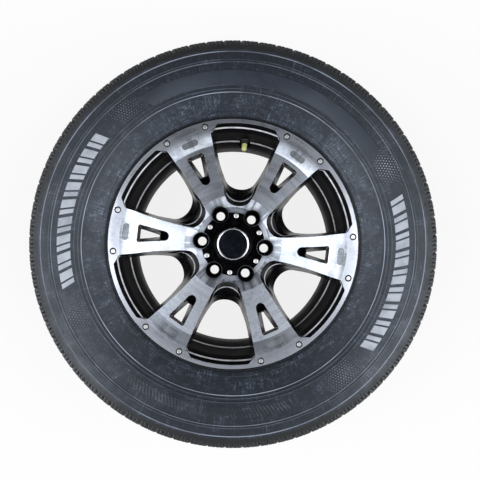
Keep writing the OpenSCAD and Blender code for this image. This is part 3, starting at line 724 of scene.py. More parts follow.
@dataclass(frozen=True)
class Raised:
    """A raised block that stands on a ring-shaped surface, between two angles.

    Tops and floors are points of radius and height, one pair for each line across the block.
    """

    tops: Sequence[Point]
    floors: Sequence[Point]
    start: float
    end: float
    lean: Callable[[float, float], float]
    chamfer: float
    steps: int = 2
    widest_edge: float = 0.3
    deepest_drop: float = 0.8

    def turn(self, share: float, line: int) -> float:
        """Angle of a point of the block, by its share of the length and its line across."""
        return self.start + (self.end - self.start) * share + self.lean(*self.tops[line])

    def top_point(self, share: float, line: int) -> Vector:
        """A point of the block's top, lowered by the chamfer where it lies on the rim."""
        tip, foot = self.tops[line], self.floors[line]
        on_rim = share in (0.0, 1.0) or line in (0, len(self.tops) - 1)
        away = Vector((foot[0] - tip[0], foot[1] - tip[1]))
        drop = min(self.chamfer if on_rim else 0.0, away.length * self.deepest_drop)
        at = Vector(tip) + away.normalized() * drop
        return place(at[0], self.turn(share, line), at[1])

    def add_to(self, mesh: Mesh) -> None:
        """Adds the block to a mesh as a closed solid."""
        length = math.radians(self.end - self.start) * self.tops[len(self.tops) // 2][0]
        edge = min(self.widest_edge, self.chamfer / length)
        middle = [edge + (1 - 2 * edge) * i / self.steps for i in range(1, self.steps)]
        shares = [0.0, edge, *middle, 1 - edge, 1.0]
        last, end = len(self.tops) - 1, len(shares) - 1
        top = [[mesh.verts.new(self.top_point(share, line)) for line in range(last + 1)] for share in shares]
        rim = ([(0, i) for i in range(last)] + [(j, last) for j in range(end)]
               + [(end, i) for i in range(last, 0, -1)] + [(j, 0) for j in range(end, 0, -1)])
        base = [mesh.verts.new(place(self.floors[i][0], self.turn(shares[j], i), self.floors[i][1]))
                for j, i in rim]
        for row, after in zip(top, top[1:]):
            for i in range(last):
                mesh.faces.new((row[i], row[i + 1], after[i + 1], after[i]))
        for k, (j, i) in enumerate(rim):
            m = (k + 1) % len(rim)
            next_j, next_i = rim[m]
            mesh.faces.new((top[j][i], base[k], base[m], top[next_j][next_i]))
        mesh.faces.new(base)


class Repeater:
    """A Geometry Nodes tree that copies a unit, with a named input for each thing that changes."""

    def __init__(self, name: str, inputs: dict[str, tuple[str, Any]]) -> None:
        """Starts a tree.

        Args:
            name: the tree's name.
            inputs: for each input's name, its kind of socket and the value that it gets.
        """
        self.tree = bpy.data.node_groups.new(name, "GeometryNodeTree")
        self.socket("Unit", "INPUT", "Geometry")
        self.socket("Copies", "OUTPUT", "Geometry")
        self.values = {self.socket(key, "INPUT", kind): value for key, (kind, value) in inputs.items()}
        self.graph = Graph(self.tree)
        self.given = self.graph.add("NodeGroupInput").outputs

    def socket(self, name: str, way: str, kind: str) -> str:
        """Adds a named socket to the tree's interface and returns its identifier."""
        kind = f"NodeSocket{kind}"
        return self.tree.interface.new_socket(name=name, in_out=way, socket_type=kind).identifier

    def bake(self, piece: Thing, copies: Socket) -> Thing:
        """Ends the tree, runs it on a piece and keeps the result as the piece's plain mesh.

        Args:
            piece: the object that holds the unit or the points.
            copies: the instances.

        Returns:
            The same object, with the baked mesh.
        """
        real = self.graph.add("GeometryNodeRealizeInstances", {0: copies}).outputs[0]
        inputs = {"Geometry": real, "Material": self.given["Material"]}
        dressed = self.graph.add("GeometryNodeSetMaterial", inputs).outputs[0]
        self.graph.add("NodeGroupOutput", {0: dressed})
        modifier = piece.modifiers.new("repeat", "NODES")
        modifier.node_group = self.tree
        for identifier, value in self.values.items():
            modifier[identifier] = value
        bpy.context.view_layer.update()
        shown = piece.evaluated_get(bpy.context.evaluated_depsgraph_get())
        baked = bpy.data.meshes.new_from_object(shown)
        piece.modifiers.remove(modifier)
        piece.data = baked
        return piece

    @classmethod
    def round_axis(cls, piece: Thing, count: int, step: float, material: bpy.types.Material,
                   first: float = 0.0) -> Thing:
        """Copies a piece round the wheel's axis.

        Args:
            piece: the unit, built at angle zero.
            count: how many copies.
            step: angle between copies, in degrees.
            material: the copies' material.
            first: angle of the first copy, in degrees.

        Returns:
            The piece with all copies in its mesh.
        """
        work = cls("round_axis", {
            "Count": ("Int", count), "Step": ("Float", math.radians(step)),
            "First": ("Float", math.radians(first)), "Material": ("Material", material),
        })
        graph, given = work.graph, work.given
        points = graph.add("GeometryNodePoints", {"Count": given["Count"]}).outputs[0]
        index = graph.add("GeometryNodeInputIndex").outputs[0]
        turn = graph.math("MULTIPLY_ADD", index, given["Step"], given["First"])
        spin = graph.add("ShaderNodeCombineXYZ", {2: turn}).outputs[0]
        copies = graph.add("GeometryNodeInstanceOnPoints",
                           {"Points": points, "Instance": given["Unit"], "Rotation": spin})
        return work.bake(piece, copies.outputs[0])

    @classmethod
    def on_points(cls, piece: Thing, unit: Thing, material: bpy.types.Material,
                  jitter: float, seed: int) -> Thing:
        """Copies a unit onto a piece's points, scaled by their size and turned to their aim.

        Args:
            piece: a mesh of marks.
            unit: the object to copy, which stands along +Z and is removed in the end.
            material: the copies' material.
            jitter: largest random turn about each axis, in radians.
            seed: the random seed.

        Returns:
            The piece with all copies in its mesh.
        """
        work = cls("on_points", {
            "Stud": ("Object", unit), "Jitter": ("Float", jitter), "Seed": ("Int", seed),
            "Material": ("Material", material),
        })
        graph, given = work.graph, work.given
        stud = graph.add("GeometryNodeObjectInfo", {"Object": given["Stud"]}).outputs["Geometry"]
        size, aim = (
            graph.add("GeometryNodeInputNamedAttribute", {"Name": name}, data_type=kind).outputs["Attribute"]
            for name, kind in (("size", "FLOAT"), ("aim", "FLOAT_VECTOR")))
        limits = {0: (-1.0, -1.0, -1.0), 1: (1.0, 1.0, 1.0), "Seed": given["Seed"]}
        wild = graph.add("FunctionNodeRandomValue", limits, data_type="FLOAT_VECTOR").outputs[0]
        spread = graph.vector("SCALE", {0: wild, "Scale": given["Jitter"]})
        stand = graph.add("FunctionNodeAlignRotationToVector", {"Vector": aim}, axis="Z").outputs[0]
        turn = graph.add("FunctionNodeRotateRotation", {"Rotation": stand, "Rotate By": spread},
                         rotation_space="LOCAL").outputs[0]
        copies = graph.add("GeometryNodeInstanceOnPoints",
                           {"Points": given["Unit"], "Instance": stud, "Rotation": turn, "Scale": size})
        work.bake(piece, copies.outputs[0])
        bpy.data.objects.remove(unit)
        return piece


# Tyre


@dataclass
class Tyre:
    """A tubeless radial tyre: casing with moulded rings, tread blocks, and raised marks on the sidewalls.

    Sizes are in millimetres and degrees. Blocks and marks are given from the tyre's middle or by radius,
    and rings as their distance from the flange, bead or tread's edge and their width.
    """

    diameter: float = 749.2
    section: float = 256.8
    widest_share: float = 0.49
    tread_width: float = 194.0
    tread_drop: float = 12.0
    crown_wall: float = 18.5
    side_wall: float = 9.0
    inner_drop: float = 9.0
    groove_depth: float = 8.5
    bead_diameter: float = 405.6
    rim_width: float = 203.2
    flange_diameter: float = 442.0
    curl: float = 9.5
    heel: float = 6.5
    bead_gap: float = 0.2
    toe_points: tuple[Point, ...] = ((12.0, 19.0), (3.0, 21.5), (-0.9, 19.5))
    middle: float = -42.0
    turns: int = 288
    pitches: int = 72
    block_root: float = 0.8
    block_chamfer: float = 0.6
    flare_gap: float = 3.0
    flare_share: float = 0.65
    shoulder_drop: float = 17.0
    shoulder_inset: float = 20.5
    shoulder_from: float = 65.0
    shoulder_fall: float = 0.17
    shoulder_tops: tuple[float, ...] = (65.0, 65.8, 76.0, 87.0, 95.0)
    shoulder_feet: tuple[float, ...] = (63.6, 65.8, 76.0, 87.0, 95.0)
    shoulder_wrap: tuple[Point, ...] = ((0.4, 1.0), (2.4, 3.4), (7.0, 7.4), (10.6, 9.0))
    shoulder_roots: tuple[tuple[float, float, float], ...] = ((98.0, 1.0, 97.0), (99.0, 1.5, 99.0))
    shoulder_sinks: tuple[Point, ...] = ((10.5, 4.0), (11.8, 6.0))
    shoulder_blocks: int = 4
    slot_width: float = 4.6
    slot_lean: float = 12.0
    slot_from: float = 72.0
    notch_width: float = 2.0
    fine_width: float = 0.8
    side_rib: Point = (27.1, 54.9)
    side_cut: float = 2.6
    side_shift: float = 0.8
    side_lean: float = 0.62
    centre_rib: Point = (-16.9, 16.9)
    centre_lean: float = 0.03
    sipe_width: float = 0.91
    rib_edge: float = 0.8
    rib_flare: float = 1.4
    ring_height: float = 0.9
    rings_by_flange: tuple[Point, ...] = ((8.0, 6.0),)
    rings_by_bead: tuple[Point, ...] = ((60.2, 1.3), (65.6, 1.6), (72.2, 2.2))
    rings_by_edge: tuple[Point, ...] = ((-46.3, 1.4), (-41.6, 1.4), (-22.8, 5.0))
    ledge_points: tuple[Point, ...] = ((11.0, 9.2), (10.4, 6.6))
    floor_stations: tuple[float, ...] = (101, 96, 88, 80, 72, 65, 58, 50, 41, 32, 22, 11, 0)
    casing_crease: float = 32.0
    tread_crease: float = 35.0
    mark_crease: float = 30.0
    mark_chamfer: float = 0.45
    mark_edge: float = 0.5
    mark_root: float = 0.6
    bar_radii: Point = (281.5, 305.0)
    bar_height: float = 0.9
    bar_lean: float = 18.0
    bar_parts: tuple[Point, ...] = ((0.0, 0.46), (0.56, 0.82))
    bar_count: int = 9
    bar_step: float = 6.1
    panel_radii: Point = (273.5, 302.0)
    panel_height: float = 0.8
    panel_lean: float = 29.0
    rib_radii: Point = (284.0, 302.0)
    rib_height: float = 0.6
    rib_lean: float = 24.0
    rib_step: float = 1.2
    stud_rows: int = 9
    stud_columns: int = 13
    stud_gap: float = 4.3
    stud_turn: float = 1.0
    studs_from: float = 280.0
    smallest_stud: float = 0.25
    vents: int = 60
    vent_heights: Point = (30.0, 15.0)
    rubber: TyreRubber = field(default_factory=TyreRubber)

    def __post_init__(self) -> None:
        """Works out the radii and curves that the other methods share."""
        self.radius = self.diameter / 2
        self.bead = self.bead_diameter / 2
        self.flange = self.flange_diameter / 2
        self.edge = self.radius - self.tread_drop
        self.tread_y = self.tread_width / 2
        self.bead_y = self.rim_width / 2
        self.side_y = self.section / 2
        self.pitch = 360 / self.pitches
        self.widest = self.bead + self.widest_share * (self.radius - self.bead)
        self.flare = (self.flange + self.flare_gap, self.bead_y + self.flare_share * self.curl)
        self.shoulder = (self.edge - self.shoulder_drop, self.side_y - self.shoulder_inset)
        self.low_curve = self.side_curve(self.flare)
        self.high_curve = self.side_curve(self.shoulder)
        bases = ((self.flange, self.rings_by_flange), (self.bead, self.rings_by_bead),
                 (self.edge, self.rings_by_edge))
        self.rings = [(base + offset, width) for base, rings in bases for offset, width in rings]

    def side_curve(self, through: Point) -> float:
        """Radius of the arc that is level at the widest point and passes through a point."""
        dr, dy = through[0] - self.widest, self.side_y - through[1]
        return (dr * dr + dy * dy) / (2 * dy)

    def curve_at(self, radius: float) -> float:
        """Radius of the sidewall's arc at a radius of the tyre."""
        return self.low_curve if radius < self.widest else self.high_curve

    def side_face(self, radius: float) -> float:
        """Distance of the sidewall's face from the tyre's middle, at a radius."""
        curve = self.curve_at(radius)
        return self.side_y - curve + math.sqrt(curve * curve - (radius - self.widest) ** 2)

    def on_side(self, radius: float, lift: float) -> Point:
        """A point of the sidewall at a radius, lifted along the face's normal."""
        turn = math.asin((radius - self.widest) / self.curve_at(radius))
        return radius + lift * math.sin(turn), self.side_face(radius) + lift * math.cos(turn)

    def mirrored(self, points: Sequence[Point], side: Side) -> list[Point]:
        """Points of radius and distance from the tyre's middle, set on one side of the wheel."""
        return [(radius, self.middle + side.value * y) for radius, y in points]

    def crown(self, y: float) -> float:
        """Radius of the tread's face at a distance from the tyre's middle."""
        return self.radius - self.tread_drop * (y / self.tread_y) ** 2

    def floor(self, y: float) -> float:
        """Radius of the rubber under the tread blocks."""
        flat = min(abs(y), self.shoulder_from)
        return self.crown(flat) - self.groove_depth - (abs(y) - flat) * self.shoulder_fall

    def ring_lift(self, radius: float) -> float:
        """Height of the moulded rings at a radius."""
        lifts = [min(1.0, (width / 2 + self.ring_height - abs(radius - at)) / self.ring_height)
                 for at, width in self.rings]
        return self.ring_height * max(0.0, *lifts)

    def inner_wall(self) -> list[Point]:
        """The inside of the casing, from the middle of the tread down to the bead."""
        top, reach = self.radius - self.crown_wall, self.tread_y - 10
        inside = [(top - self.inner_drop * (i / 5) ** 2, reach * i / 5) for i in range(6)]
        steps = 9
        for i in range(steps - 1, 0, -1):
            r = self.widest + (self.shoulder[0] - self.widest) * i / steps
            slant = self.side_wall * (r - self.widest) / self.high_curve
            inside.append((r - slant, self.side_face(r) - self.side_wall))
        for i in range(steps - 1, 1, -1):
            r = self.flare[0] + (self.widest - self.flare[0]) * i / steps
            inside.append((r, self.side_face(r) - self.side_wall))
        return inside

    def bead_foot(self) -> list[Point]:
        """The bead, from its toe round the heel and up the rim's curl."""
        def arc(x: float, y: float, r: float, start: float, end: float, steps: int) -> list[Point]:
            """Points along an arc."""
            turns = [math.radians(start + (end - start) * i / steps) for i in range(steps + 1)]
            return [(x + r * math.cos(t), y + r * math.sin(t)) for t in turns]

        toe = [(self.bead + out, self.bead_y - back) for out, back in self.toe_points]
        heel = arc(self.bead + self.heel, self.bead_y - self.heel, self.heel - self.bead_gap, 180, 90, 6)
        curl = arc(self.flange - self.curl, self.bead_y + self.curl, self.curl + self.bead_gap, -90, -20, 8)
        return toe + heel + curl

    def outer_wall(self) -> list[Point]:
        """The sidewall with its rings, and the step on which the lowest end of the tread blocks stands."""
        radii = {self.flare[0] + (self.shoulder[0] - self.flare[0]) * i / 40 for i in range(41)}
        for at, width in self.rings:
            for reach in (width / 2, width / 2 + self.ring_height):
                radii |= {at - reach, at + reach}
        side = [self.on_side(r, self.ring_lift(r)) for r in sorted(radii)]
        return side + [(self.edge - drop, self.tread_y + reach) for drop, reach in self.ledge_points]

    def build_casing(self) -> Thing:
        """Revolves the section into the casing."""
        under = [(self.floor(y), y) for y in self.floor_stations]
        half = self.inner_wall() + self.bead_foot() + self.outer_wall() + under
        section = half + [(r, -y) for r, y in half[-2:0:-1]]
        mesh = bmesh.new()
        rows = [[mesh.verts.new(place(r, 360 * k / self.turns, self.middle + y)) for r, y in section]
                for k in range(self.turns)]
        for row, after in zip(rows, rows[1:] + rows[:1]):
            for i in range(len(section)):
                j = (i + 1) % len(section)
                mesh.faces.new((row[i], after[i], after[j], row[j]))
        casing = new_solid("tyre_casing", mesh, self.rubber.material(Mould.SIDEWALL))
        shade(casing, self.casing_crease)
        return casing

    def rib(self, low: float, high: float, side: Side, lines: int = 4) -> tuple[list[Point], list[Point]]:
        """Top and foot of a tread rib across the tyre, between two distances from its middle."""
        ys = [low + (high - low) * i / (lines - 1) for i in range(1, lines - 1)]
        ys = [low, low + self.rib_edge, *ys, high - self.rib_edge, high]
        tops = [(self.crown(y), y) for y in ys]
        feet = [(self.floor(y) - self.block_root, y) for y in ys]
        feet[0] = (feet[0][0], low - self.rib_flare)
        feet[-1] = (feet[-1][0], high + self.rib_flare)
        return self.mirrored(tops, side), self.mirrored(feet, side)

    def shoulder_rib(self, side: Side) -> tuple[list[Point], list[Point]]:
        """Top and foot of a shoulder block, which wraps over the tread's edge."""
        tops = [(self.crown(y), y) for y in self.shoulder_tops]
        tops += [(self.edge - drop, self.tread_y + reach) for drop, reach in self.shoulder_wrap]
        feet = [(self.floor(y) - self.block_root, y) for y in self.shoulder_feet]
        feet += [(self.floor(y) - depth, at) for y, depth, at in self.shoulder_roots]
        feet += [(self.edge - drop, self.tread_y + reach) for drop, reach in self.shoulder_sinks]
        return self.mirrored(tops, side), self.mirrored(feet, side)

    def add_shoulder(self, mesh: Mesh, side: Side) -> None:
        """Adds one pitch of shoulder blocks, with a slot, a notch and fine cuts between them."""
        slot, notch, fine = (math.degrees(width / self.edge)
                             for width in (self.slot_width, self.notch_width, self.fine_width))
        width = (self.pitch - slot - notch - 2 * fine) / self.shoulder_blocks
        slant = math.tan(math.radians(self.slot_lean))

        def lean(_: float, z: float) -> float:
            """Slant of the slots, from where they start."""
            return -math.degrees(slant * (side.value * (z - self.middle) - self.slot_from) / self.edge)

        tops, feet = self.shoulder_rib(side)
        for i in range(self.shoulder_blocks):
            start = slot / 2 + i * (width + fine) + (notch - fine) * (i > 1)
            Raised(tops, feet, start, start + width, lean, self.block_chamfer).add_to(mesh)

    def add_side_rib(self, mesh: Mesh, side: Side) -> None:
        """Adds one pitch of the blocks between the centre rib and a shoulder."""
        cut, sipe = math.degrees(self.side_cut / self.radius), math.degrees(self.sipe_width / self.edge)
        half = (self.pitch - cut - sipe) / 2
        middle = sum(self.side_rib) / 2

        def lean(_: float, z: float) -> float:
            """Slant of the cuts, about the rib's middle."""
            aside = side.value * (z - self.middle) - middle
            return math.degrees(self.side_lean * aside * side.value / self.radius)

        tops, feet = self.rib(*self.side_rib, side)
        for i in range(2):
            start = side.value * self.side_shift + i * (half + sipe)
            Raised(tops, feet, start, start + half, lean, self.block_chamfer).add_to(mesh)

    def add_centre_rib(self, mesh: Mesh) -> None:
        """Adds one pitch of the centre rib."""
        sipe = math.degrees(self.sipe_width / self.edge)
        half = self.pitch / 2 - sipe
        tops, feet = self.rib(*self.centre_rib, Side.FRONT)
        for i in range(2):
            start = i * (half + sipe)
            Raised(tops, feet, start, start + half, lambda _, z: self.centre_lean * (z - self.middle),
                   self.block_chamfer).add_to(mesh)

    def build_tread(self) -> Thing:
        """Builds one pitch of tread blocks and copies it round the tyre."""
        mesh = bmesh.new()
        for side in Side:
            self.add_shoulder(mesh, side)
            self.add_side_rib(mesh, side)
        self.add_centre_rib(mesh)
        tread = new_solid("tyre_tread", mesh)
        Repeater.round_axis(tread, self.pitches, self.pitch, self.rubber.material(Mould.TREAD))
        shade(tread, self.tread_crease)
        return tread

    def side_block(self, radii: Point, lift: float, start: float, end: float, lean: float,
                   side: Side = Side.FRONT, lines: int = 5, steps: int = 2) -> Raised:
        """A raised mark on the sidewall between two radii and two angles.

        Args:
            radii: inner and outer radius.
            lift: height above the sidewall.
            start: first angle, in degrees.
            end: last angle, in degrees.
            lean: slant of the mark, in degrees.
            side: which sidewall.
            lines: lines across the mark.
            steps: parts along the mark.

        Returns:
            The block.
        """
        low, high = radii
        across = [low + (high - low) * i / (lines - 1) for i in range(1, lines - 1)]
        across = [low, low + self.mark_edge, *across, high - self.mark_edge, high]
        tops, feet = ([self.on_side(r, height) for r in across] for height in (lift, -self.mark_root))
        slope, mid = math.tan(math.radians(lean)), (low + high) / 2
        return Raised(self.mirrored(tops, side), self.mirrored(feet, side), start, end,
                      lambda r, _: math.degrees(slope * (r - mid) / r), self.mark_chamfer, steps)

    def build_bars(self, name: str, first: float) -> Thing:
        """Builds an arc of paired slanted bars on the front sidewall."""
        mesh = bmesh.new()
        for start, end in self.bar_parts:
            self.side_block(self.bar_radii, self.bar_height, start * self.bar_step, end * self.bar_step,
                            self.bar_lean).add_to(mesh)
        bars = new_solid(name, mesh)
        Repeater.round_axis(bars, self.bar_count, self.bar_step, self.rubber.material(Mould.WHITE), first)
        shade(bars, self.mark_crease)
        return bars

    def build_panel(self, name: str, start: float, end: float) -> Thing:
        """Builds the plain raised band on the front sidewall, with slanted ends."""
        mesh = bmesh.new()
        self.side_block(self.panel_radii, self.panel_height, start, end, self.panel_lean, lines=7,
                        steps=90).add_to(mesh)
        panel = new_solid(name, mesh, self.rubber.material(Mould.PANEL))
        shade(panel, self.mark_crease)
        return panel

    def build_ribbing(self, name: str, first: float, count: int, side: Side) -> Thing:
        """Builds a field of fine slanted ribs in the sidewall's own rubber."""
        mesh = bmesh.new()
        self.side_block(self.rib_radii, self.rib_height, 0.0, 0.5 * self.rib_step, self.rib_lean, side,
                        3).add_to(mesh)
        ribs = new_solid(name, mesh)
        Repeater.round_axis(ribs, count, self.rib_step, self.rubber.material(Mould.SIDEWALL), first)
        shade(ribs, self.mark_crease)
        return ribs

    def stud_marks(self, middle: float, share: float, side: Side) -> list[tuple[Vector, float, Vector]]:
        """Marks for one patch of studs, which get smaller towards its ends.

        Args:
            middle: angle of the patch's middle, in degrees.
            share: size of its largest stud.
            side: which sidewall.

        Returns:
            Place, size and aim of each stud.
        """
        marks = []
        centre = (self.stud_rows - 1) / 2
        for i in range(self.stud_rows):
            for j in range(self.stud_columns):
                radius = self.studs_from + self.stud_gap * i
                aside = self.stud_turn * (j - (self.stud_columns - 1) / 2 + 0.5 * (i % 2))
                across, along = (i - centre) / (centre + 1), aside / (self.stud_turn * self.stud_columns / 2)
                size = share * (1.0 - 0.6 * math.hypot(across * 0.7, along))
                if size < self.smallest_stud:
                    continue
                at, tip = (place(r, middle + aside, self.middle + side.value * y)
                           for r, y in (self.on_side(radius, -0.05), self.on_side(radius, 1.0)))
                marks.append((at, size, (tip - at).normalized()))
        return marks

    def build_studs(self, name: str, patches: Sequence[Point], side: Side) -> Thing:
        """Builds patches of small diamond studs, each given by its middle angle and its largest stud."""
        marks = [mark for middle, share in patches for mark in self.stud_marks(middle, share, side)]
        studs = new_marks(name, marks)
        return Repeater.on_points(studs, self.stud_unit(), self.rubber.material(Mould.STUD), 0.0, 1)

    @staticmethod
    def stud_unit() -> Thing:
        """A low four-sided pyramid, closed underneath."""
        mesh = bmesh.new()
        half, low, high, stretch = 1.75 * MM, -0.4 * MM, 0.85 * MM, 1.3
        corners = ((stretch, 0), (0, 1), (-stretch, 0), (0, -1))
        base = [mesh.verts.new((half * x, half * y, low)) for x, y in corners]
        tip = mesh.verts.new((0, 0, high))
        for a, b in zip(base, base[1:] + base[:1]):
            mesh.faces.new((a, b, tip))
        mesh.faces.new(base[::-1])
        return new_piece("stud_unit", mesh)

    def build_vents(self) -> Thing:
        """Builds the thin rubber hairs that the mould's vents leave on the shoulders."""
        marks = []
        for side in Side:
            for k in range(self.vents):
                angle = 360 * (k + 0.35 * math.sin(7.3 * k)) / self.vents
                radius = min(self.edge - self.vent_heights[k % 2], self.shoulder[0] - 1)
                r, y = self.on_side(radius, -0.3)
                size = 0.6 + 0.4 * math.sin(3.1 * k + side.value) ** 2
                out = place(0.6 / MM, angle, side.value / MM)
                marks.append((place(r, angle, self.middle + side.value * y), size, out))
        vents = new_marks("tyre_vent_hairs", marks)
        return Repeater.on_points(vents, self.hair_unit(), self.rubber.material(Mould.SIDEWALL), 0.5, 7)

    @staticmethod
    def hair_unit() -> Thing:
        """One thin tapered hair, 5 mm long."""
        mesh = bmesh.new()
        root, tip, length = 0.45 * MM, 0.25 * MM, 5 * MM
        bmesh.ops.create_cone(mesh, cap_ends=True, segments=6, radius1=root, radius2=tip, depth=length,
                              matrix=Matrix.Translation((0, 0, length / 2)))
        return new_piece("hair_unit", mesh)

    def build(self) -> None:
        """Builds every piece of the tyre and sets them in the solid's place."""
        patches = ((33.5, 1.0), (136.0, 0.65), (211.0, 0.65), (-43.5, 0.85))
        pieces = [
            self.build_casing(),
            self.build_tread(),
            self.build_bars("tyre_bars_left", 147.0),
            self.build_bars("tyre_bars_right", -31.5),
            self.build_panel("tyre_panel_top", 38.4, 128.0),
            self.build_ribbing("tyre_ribs_bottom", 236.0, 50, Side.FRONT),
            self.build_ribbing("tyre_ribs_rear", 0.0, 300, Side.REAR),
            self.build_studs("tyre_studs", patches, Side.FRONT),
            self.build_vents(),
        ]
        for piece in pieces:
            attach(piece, "wheel")
            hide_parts("tyre")
            LOG.info("%s: %d faces", piece.name, len(piece.data.polygons))


# Wheel casting


class Skin(Enum):
    """The finishes of the casting, in the order of its material slots."""

    TURNED = 0
    RECESS = 1
    GLOSS = 2
    SATIN = 3


@dataclass
class Casting:
    """The cast wheel: a copy of its solid with merged corners, dressed face by face.

    The profile gives radius and height of the turned face, in millimetres.
    """

    turned: TurnedAlloy = field(default_factory=TurnedAlloy)
    recess: TurnedAlloy = TurnedAlloy("milled_recess", (0.42, 0.45, 0.49, 1.0), (0.16, 0.18, 0.21, 1.0), 0.42)
    # Each paint's steps are bands of painted highlight on the casting's steps.
    gloss: CastPaint = CastPaint("gloss_paint", 0.26, 0.12, 0.16, ((55.0, 56.2, 78, 91),),
                                 (0.50, 0.52, 0.56, 1.0))
    satin: CastPaint = CastPaint("barrel_paint", 0.5, 0.0, 0.05,
                                 ((64.7, 66.7, 150, 230), (25.6, 28.4, 150, 230)))
    profile: tuple[Point, ...] = (
        (0, 63.5), (65.5, 63.5), (85, 69.5), (177, 64.5), (181.05, 66.63), (185.1, 68.5), (189.15, 70.05),
        (193.2, 71.27), (197.25, 72.12), (201.3, 72.5), (222, 72.5))
    recess_band: Point = (181.0, 199.0)
    face_depth: float = 0.6
    recess_depth: float = 3.0
    mount_depth: float = 0.3
    mount_radius: float = 84.0
    barrel_from: float = 150.0
    upward: float = 0.3
    downward: float = -0.9
    inward: float = 0.5
    merge: float = 0.002 * MM
    smooth_under: float = 24.0
    crease: float = 0.13

    def __post_init__(self) -> None:
        """Works out the profile's bands, as inner radius, outer radius and rise for each unit of radius."""
        pairs = zip(self.profile, self.profile[1:])
        self.bands = [(r0, r1, (z1 - z0) / (r1 - r0)) for (r0, z0), (r1, z1) in pairs]

    def band_at(self, radius: float) -> int:
        """Number of the profile's band that holds a radius."""
        return next((i for i, band in enumerate(self.bands) if radius <= band[1]), len(self.bands) - 1)

    def face_height(self, radius: float) -> float:
        """Height of the turned face at a radius."""
        at = self.band_at(radius)
        first, last, rise = self.bands[at]
        return self.profile[at][1] + rise * (min(radius, last) - first)

    def slope(self, radius: float, centre: float) -> float:
        """Slope of the turned face at a radius, blended into the next band unless a crease lies between.

        Args:
            radius: where the slope is asked for.
            centre: radius of the middle of the face that asks, which picks the band.

        Returns:
            Rise for each unit of radius.
        """
        at = self.band_at(centre)
        first, last, own = self.bands[at]
        middle = (first + last) / 2
        near = self.bands[min(at + 1, len(self.bands) - 1) if radius > middle else max(at - 1, 0)][2]
        if abs(near - own) > self.crease:
            return own
        return own + (near - own) * min(0.5, abs(radius - middle) / (last - first))

    def true_normals(self, piece: Thing) -> None:
        """Gives the turned front face the normals of its own profile, which its long triangles would blur."""
        data = piece.data
        normals = [(0.0, 0.0, 0.0)] * len(data.loops)
        for face in data.polygons:
            skin = Skin(face.material_index)
            if skin not in (Skin.TURNED, Skin.RECESS) or face.normal.z < self.upward:
                continue
            centre = face.center.xy.length / MM
            for corner in face.loop_indices:
                flat = data.vertices[data.loops[corner].vertex_index].co.xy
                tilt = 0.0 if skin is Skin.RECESS else -self.slope(flat.length / MM, centre)
                away = flat.normalized()
                normals[corner] = tuple(Vector((tilt * away.x, tilt * away.y, 1.0)).normalized())
        data.normals_split_custom_set(normals)

    def skin_of(self, face: bmesh.types.BMFace) -> Skin:
        """The finish of one face, by its place and the way it faces."""
        centre, normal = face.calc_center_median() / MM, face.normal
        radius = centre.xy.length
        depth = max(abs(self.face_height(v.co.xy.length / MM) - v.co.z / MM) for v in face.verts)
        in_recess = self.recess_band[0] < radius < self.recess_band[1]
        if normal.z > self.upward and depth < self.face_depth:
            return Skin.TURNED
        if normal.z > self.upward and depth < self.recess_depth and in_recess:
            return Skin.RECESS
        if normal.z < self.downward and abs(centre.z) < self.mount_depth and radius < self.mount_radius:
            return Skin.TURNED
        inward = -normal.xy.dot(centre.xy) / max(radius, 1.0)
        return Skin.SATIN if radius > self.barrel_from and inward > self.inward else Skin.GLOSS

    def build(self) -> None:
        """Copies the solid, merges its loose triangles and dresses it."""
        mesh = bmesh.new()
        mesh.from_mesh(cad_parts["wheel"].data)
        bmesh.ops.remove_doubles(mesh, verts=mesh.verts, dist=self.merge)
        mesh.normal_update()
        for face in mesh.faces:
            face.material_index = self.skin_of(face).value
        casting = new_piece("wheel_casting", mesh)
        for paint in (self.turned, self.recess, self.gloss, self.satin):
            casting.data.materials.append(paint.material())
        shade(casting, self.smooth_under)
        self.true_normals(casting)
        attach(casting, "wheel")
        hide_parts("wheel")
        LOG.info("wheel_casting: %d faces", len(casting.data.polygons))


# Small parts


